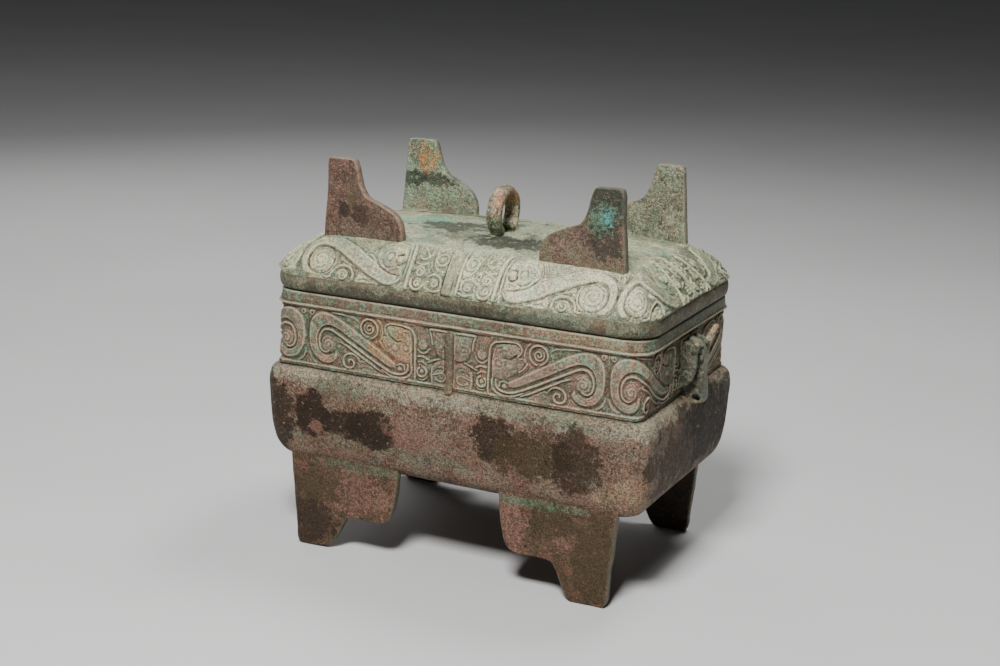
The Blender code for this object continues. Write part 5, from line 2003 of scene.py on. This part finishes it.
    dome: Patina = Patina(
        "lid patina", Tone.LICHEN, Tone.GREY_GREEN, Tone.BEIGE,
        (Tone.PALE_CREAM, Tone.MINT, Tone.BROWN_GREY), Tone.MOSS, Tone.PALE_CREAM, mottle=10,
        fleck_size=1.7, fleck_share=0.55, hollow_share=0.85, edge_share=0.6, seed=7.1, stains=(
            Stain((58, -55, 168), (62, 24, 14), Tone.PALE_CREAM, 0.8, 0.7, 8),
            Stain((0, 4, 182), (90, 40, 7), Tone.GREY_GREEN, 0.6, 0.7, 12),
            Stain((15, -25, 181), (25, 12, 8), Tone.NEAR_BLACK, 0.85, 1, 8, True),
            Stain((-32, -3, 181), (22, 12, 8), Tone.DEEP_GREEN, 0.85, 1, 8, True),
            Stain((-16, -22, 181), (16, 9, 8), Tone.MOSS, 0.5, 1.1, 5, True),
            Stain((-35, 38, 181), (44, 4, 8), Tone.MOSS, 0.7, 1.2, 7, True),
            Stain((46, -6, 181), (30, 12, 8), Tone.MOSS, 0.45, 1.2, 7, True),
            Stain((-56, 9, 181), (22, 6, 8), Tone.MINT, 0.8, 0.9, 6, True),
            Stain((-38, -40, 178), (20, 7, 8), Tone.VERDIGRIS, 0.5, 1, 6),
            Stain((106, 6, 166), (22, 70, 15), Tone.DARK_GREEN, 0.5, 0.9, 8, True),
            Stain((-60, -62, 168), (40, 20, 12), Tone.PINK_BROWN, 0.35, 0.9, 8),
            Stain((-2.7, -62, 166), (3, 16, 14), Tone.OLIVE_GREY, 0.5, 0.6, 4, True),
            # Painted shadow cast by the lid's front rib, along its left side
            Stain((-5.7, -62, 166), (1, 16, 13), Tone.DEEP_GREEN, 0.8, 0.2, 4, True),
        ))
    strip: Patina = Patina(
        "lid strip patina", Tone.OLIVE, Tone.DARK_GREEN, Tone.MOSS,
        (Tone.GREY_GREEN, Tone.RED_BROWN, Tone.OLIVE), Tone.NEAR_BLACK, Tone.PALE_GREEN, mottle=8,
        hollow_share=0.85, seed=8.3, stains=(
            Stain((70, -68, 153), (40, 10, 6), Tone.GREY_GREEN, 0.5, 0.9, 7),
            Stain((-60, -68, 155), (60, 10, 5), Tone.BROWN_GREY, 0.3, 0.9, 8),
            Stain((0, -68, 151), (104, 10, 4), Tone.DEEP_GREEN, 0.5, 0.9, 7, True),
            Stain((84, -68, 153), (6, 10, 5), Tone.RED_BROWN, 0.6, 0.7, 4),
        ))
    left_front_plate: Patina = Patina(
        "left front plate patina", Tone.PURPLE_BROWN, Tone.RED_BROWN, Tone.BROWN_GREY,
        (Tone.PINK_BROWN, Tone.MOSS, Tone.DARK_BROWN), Tone.DARK_BROWN, Tone.BEIGE, mottle=7,
        cloud_size=6, cloud_share=0.35, fleck_size=1.6, grain_depth=0.7,
        edge_share=0.6, seed=9.7, stains=(
            Stain((-77, -48, 193), (3.6, 4, 4.2), Tone.DARK_BROWN, 0.85, 0.4, 3, True),
            Stain((-72, -48, 203), (3, 4, 12), Tone.OLIVE, 0.75, 0.5, 4, True),
            Stain((-67, -48, 192), (6, 4, 6), Tone.DARK_BROWN, 0.7, 0.8, 4, True),
            Stain((-77, -48, 211), (6, 4, 4), Tone.DARK_BROWN, 0.6, 0.9, 4),
            Stain((-66, -48, 181), (22, 4, 6), Tone.BROWN_GREY, 0.5, 0.8, 5),
        ))
    right_front_plate: Patina = Patina(
        "right front plate patina", Tone.OLIVE_GREY, Tone.PURPLE_BROWN, Tone.OLIVE,
        (Tone.PINK_BROWN, Tone.DARK_BROWN, Tone.OLIVE_GREY), Tone.DARK_BROWN, Tone.GREY_GREEN, mottle=8,
        cloud_size=7, fleck_size=1.6, grain_depth=0.7, edge_share=0.55,
        seed=10.3, stains=(
            Stain((78, -48, 211), (13, 5, 13), Tone.DEEP_GREEN, 0.85, 0.8, 6, True),
            Stain((79, -48, 193), (9, 5, 9), Tone.NEAR_BLACK, 0.7, 0.8, 6, True),
            Stain((76, -48, 205), (7, 5, 6), Tone.VERDIGRIS, 0.7, 2.4, 2.4, True),
            Stain((79, -48, 206), (2.6, 5, 3.4), Tone.TURQUOISE, 0.75, 2.6, 2, True),
            Stain((84, -48, 199), (5, 5, 8), Tone.RED_BROWN, 0.7, 1.3, 2.6),
        ))
    left_back_plate: Patina = Patina(
        "left back plate patina", Tone.GREY_GREEN, Tone.OLIVE_GREY, Tone.DARK_GREEN,
        (Tone.MINT, Tone.BEIGE, Tone.DARK_GREEN), Tone.DEEP_GREEN, Tone.GREY_GREEN, mottle=8,
        cloud_size=7, seed=11.9, stains=(
            Stain((-72, 42, 209), (7, 6, 10), Tone.OCHRE, 0.9, 1, 5),
            Stain((-77, 42, 208), (2.4, 6, 7), Tone.ORANGE, 0.45, 0.9, 4),
            Stain((-82, 42, 198), (8, 6, 5), Tone.DEEP_GREEN, 0.8, 1, 5, True),
            Stain((-66, 42, 198), (10, 6, 4), Tone.DEEP_GREEN, 0.75, 1.4, 5, True),
            Stain((-66, 42, 183), (22, 6, 5), Tone.PINK_BROWN, 0.4, 1, 5),
        ))
    right_back_plate: Patina = Patina(
        "right back plate patina", Tone.OLIVE_GREY, Tone.GREY_GREEN, Tone.DEEP_GREEN,
        (Tone.BEIGE, Tone.GREY_GREEN, Tone.DARK_GREEN), Tone.DEEP_GREEN, Tone.BEIGE, mottle=6,
        cloud_size=6, cloud_share=0.7, seed=12.7)
    ring: Patina = Patina(
        "ring patina", Tone.TAN, Tone.PINK_BROWN, Tone.DARK_GREEN,
        (Tone.CREAM, Tone.MINT, Tone.DARK_BROWN), Tone.DARK_BROWN, Tone.TAN, mottle=5, cloud_size=5,
        cloud_share=0.7, fleck_size=1.6, seed=13.9, stains=(
            Stain((0, -16, 187), (12, 9, 9), Tone.DARK_GREEN, 0.75, 0.8, 4),
            Stain((0, 8, 194), (12, 9, 14), Tone.OLIVE, 0.6, 0.8, 4),
            Stain((0, -7, 207), (8, 4, 3), Tone.OLIVE, 0.6, 0.8, 3),
            Stain((2, 3, 203), (7, 6, 5), Tone.ORANGE, 0.6, 0.8, 3),
            Stain((4, -15, 198), (6, 5, 8), Tone.ORANGE, 0.4, 0.8, 3),
            # Painted highlight at the base of the back limb
            Stain((0, 6, 186), (12, 5, 4), Tone.CREAM, 0.7, 0.9, 3),
        ))


@dataclass
class Vessel:
    """The lower casting: bowl, frieze, rim, feet, beast heads and ribs."""

    finishes: Finishes
    bowl: Bowl = field(default_factory=Bowl)
    frieze: Frieze = field(default_factory=Frieze)
    rim: Rim = field(default_factory=Rim)
    feet: Feet = field(default_factory=Feet)
    heads: BeastHeads = field(default_factory=BeastHeads)
    ribs: Ribs = field(default_factory=Ribs)

    def build(self) -> None:
        """Makes and dresses every piece of the vessel."""
        casting = Casting.VESSEL
        make_piece(self.bowl.skin(), "vessel_bowl", casting, self.finishes.bowl.material())
        frieze_finish = self.finishes.frieze.material()
        make_piece(self.frieze.skin(draw_vessel_dragon()), "vessel_frieze", casting, frieze_finish)
        make_piece(self.rim.skin(), "vessel_rim", casting, self.finishes.rim.material())
        foot_finish = self.finishes.feet.material()
        for name, skin in self.feet.skins().items():
            make_piece(skin, "foot_" + name, casting, foot_finish)
        head_finish = self.finishes.heads.material()
        make_piece(self.heads.skin(self.heads.broken_horn), "head_right", casting, head_finish)
        left_head = self.heads.skin(self.heads.whole_horn).mirrored(-1, 1)
        make_piece(left_head, "head_left", casting, head_finish)
        make_piece(self.ribs.vessel_skin(-1), "vessel_rib_front", casting, frieze_finish)
        make_piece(self.ribs.vessel_skin(1), "vessel_rib_back", casting, frieze_finish)


@dataclass
class Lid:
    """The upper casting: strip, dome, plates, ring handle and ribs."""

    finishes: Finishes
    strip: LidStrip = field(default_factory=LidStrip)
    dome: LidDome = field(default_factory=LidDome)
    plates: Plates = field(default_factory=Plates)
    ring: RingHandle = field(default_factory=RingHandle)
    ribs: Ribs = field(default_factory=Ribs)

    def build(self) -> None:
        """Makes and dresses every piece of the lid."""
        casting = Casting.LID
        make_piece(self.strip.skin(), "lid_strip", casting, self.finishes.strip.material())
        dome_finish = self.finishes.dome.material()
        make_piece(self.dome.skin(draw_lid_dragon()), "lid_dome", casting, dome_finish)
        plate_finishes = {
            "left_front": self.finishes.left_front_plate, "right_front": self.finishes.right_front_plate,
            "left_back": self.finishes.left_back_plate, "right_back": self.finishes.right_back_plate}
        for name, skin in self.plates.skins().items():
            make_piece(skin, "plate_" + name, casting, plate_finishes[name].material())
        make_piece(self.ring.skin(), "ring_handle", casting, self.finishes.ring.material())
        rows, way = self.dome.profile()
        low, high = self.ribs.lid_way
        climbing = rows[(way > low) & (way < high)][::self.ribs.lid_every]
        profile = np.stack([climbing[:, 2], climbing[:, 0] + self.dome.crown(0, climbing[:, 0])], axis=1)
        make_piece(self.ribs.lid_skin(-1, profile), "lid_rib_front", casting, dome_finish)
        make_piece(self.ribs.lid_skin(1, profile), "lid_rib_back", casting, dome_finish)


@dataclass(frozen=True)
class Lamp:
    """A square soft light, with its place and size in metres and its power in watts."""

    name: str
    place: Place
    size: float
    power: float

    def hang(self, aim: Place) -> None:
        """Hangs the light so that it faces a point.

        Args:
            aim: the point, in metres.
        """
        data = bpy.data.lights.new(self.name, "AREA")
        data.size = self.size
        data.energy = self.power
        lamp = bpy.data.objects.new(self.name, data)
        lamp.location = self.place
        towards = Vector(aim) - Vector(self.place)
        lamp.rotation_euler = towards.to_track_quat("-Z", "Y").to_euler()
        bpy.context.scene.collection.objects.link(lamp)


@dataclass
class Studio:
    """The camera, the soft lights and the plain pale floor, with places in metres and turns in degrees."""

    camera_place: Place = (0.40138, -0.85544, 0.37314)
    heading: float = 115.266
    tilt: float = 14.832
    roll: float = 1.869
    lens: float = 62.0
    sensor: float = 36.0
    nearest: float = 0.01
    farthest: float = 100.0
    floor_half_size: float = 14.0
    floor_dark: tuple[float, ...] = (0.52, 0.515, 0.51, 1)
    floor_light: tuple[float, ...] = (0.56, 0.555, 0.55, 1)
    floor_clouds: float = 400.0
    floor_rough: float = 0.75
    room_colour: tuple[float, ...] = (0.9, 0.92, 0.95, 1.0)
    room_strength: float = 0.055
    aim: Place = (0.0, 0.0, 0.11)
    lamps: tuple[Lamp, ...] = (
        Lamp("key light", (0.16, -0.86, 1.16), 0.3, 33.0),
        Lamp("top light", (0.25, 0.45, 1.25), 0.4, 8.0),
        Lamp("back light", (-0.9, 0.7, 0.8), 0.8, 4.0),
    )

    def camera(self) -> None:
        """Stands the camera where the photograph was taken from.

        It looks along its heading from the row's x, tilted down, and is rolled about that direction.
        """
        data = bpy.data.cameras.new("camera")
        data.lens = self.lens
        data.sensor_width = self.sensor
        data.sensor_fit = "HORIZONTAL"
        data.clip_start = self.nearest
        data.clip_end = self.farthest
        camera = bpy.data.objects.new("camera", data)
        bpy.context.scene.collection.objects.link(camera)
        heading, tilt, roll = np.radians((self.heading, self.tilt, self.roll))
        level_reach = np.cos(tilt)
        ahead = Vector((level_reach * np.cos(heading), level_reach * np.sin(heading), -np.sin(tilt)))
        level = ahead.cross(Vector((0.0, 0.0, 1.0))).normalized()
        right = level * float(np.cos(roll)) + level.cross(ahead) * float(np.sin(roll))
        axes = Matrix((right, right.cross(ahead), -ahead))
        camera.matrix_world = Matrix.Translation(self.camera_place) @ axes.transposed().to_4x4()
        bpy.context.scene.camera = camera

    def floor(self) -> None:
        """Lays the pale floor."""
        reach = self.floor_half_size
        mesh = bpy.data.meshes.new("floor")
        corners = [(-reach, -reach, 0), (reach, -reach, 0), (reach, reach, 0), (-reach, reach, 0)]
        mesh.from_pydata(corners, [], [(0, 1, 2, 3)])
        board = Board("pale floor")
        cloud = board.spread(board.noise(self.floor_clouds, 2, 1), 0.2, 0.8)
        colour = board.blend(cloud, self.floor_dark, self.floor_light)
        shader = board.add("ShaderNodeBsdfPrincipled", {
            "Base Color": colour, "Roughness": self.floor_rough})
        board.add("ShaderNodeOutputMaterial", {"Surface": shader.outputs[0]})
        mesh.materials.append(board.material)
        floor = bpy.data.objects.new("floor", mesh)
        bpy.context.scene.collection.objects.link(floor)

    def world(self) -> None:
        """Fills the room with a weak pale light."""
        world = bpy.data.worlds.new("room")
        world.use_nodes = True
        background = world.node_tree.nodes["Background"]
        background.inputs["Color"].default_value = self.room_colour
        background.inputs["Strength"].default_value = self.room_strength
        bpy.context.scene.world = world

    def build(self) -> None:
        """Sets up everything round the vessel."""
        self.camera()
        self.world()
        self.floor()
        for lamp in self.lamps:
            lamp.hang(self.aim)


def main() -> None:
    """Loads the frame, builds the studio, the vessel and the lid, and logs each piece's triangle count."""
    logging.basicConfig(level=logging.INFO, format="%(message)s")
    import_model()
    Studio().build()
    finishes = Finishes()
    Vessel(finishes).build()
    Lid(finishes).build()


if __name__ == "__main__":
    main()
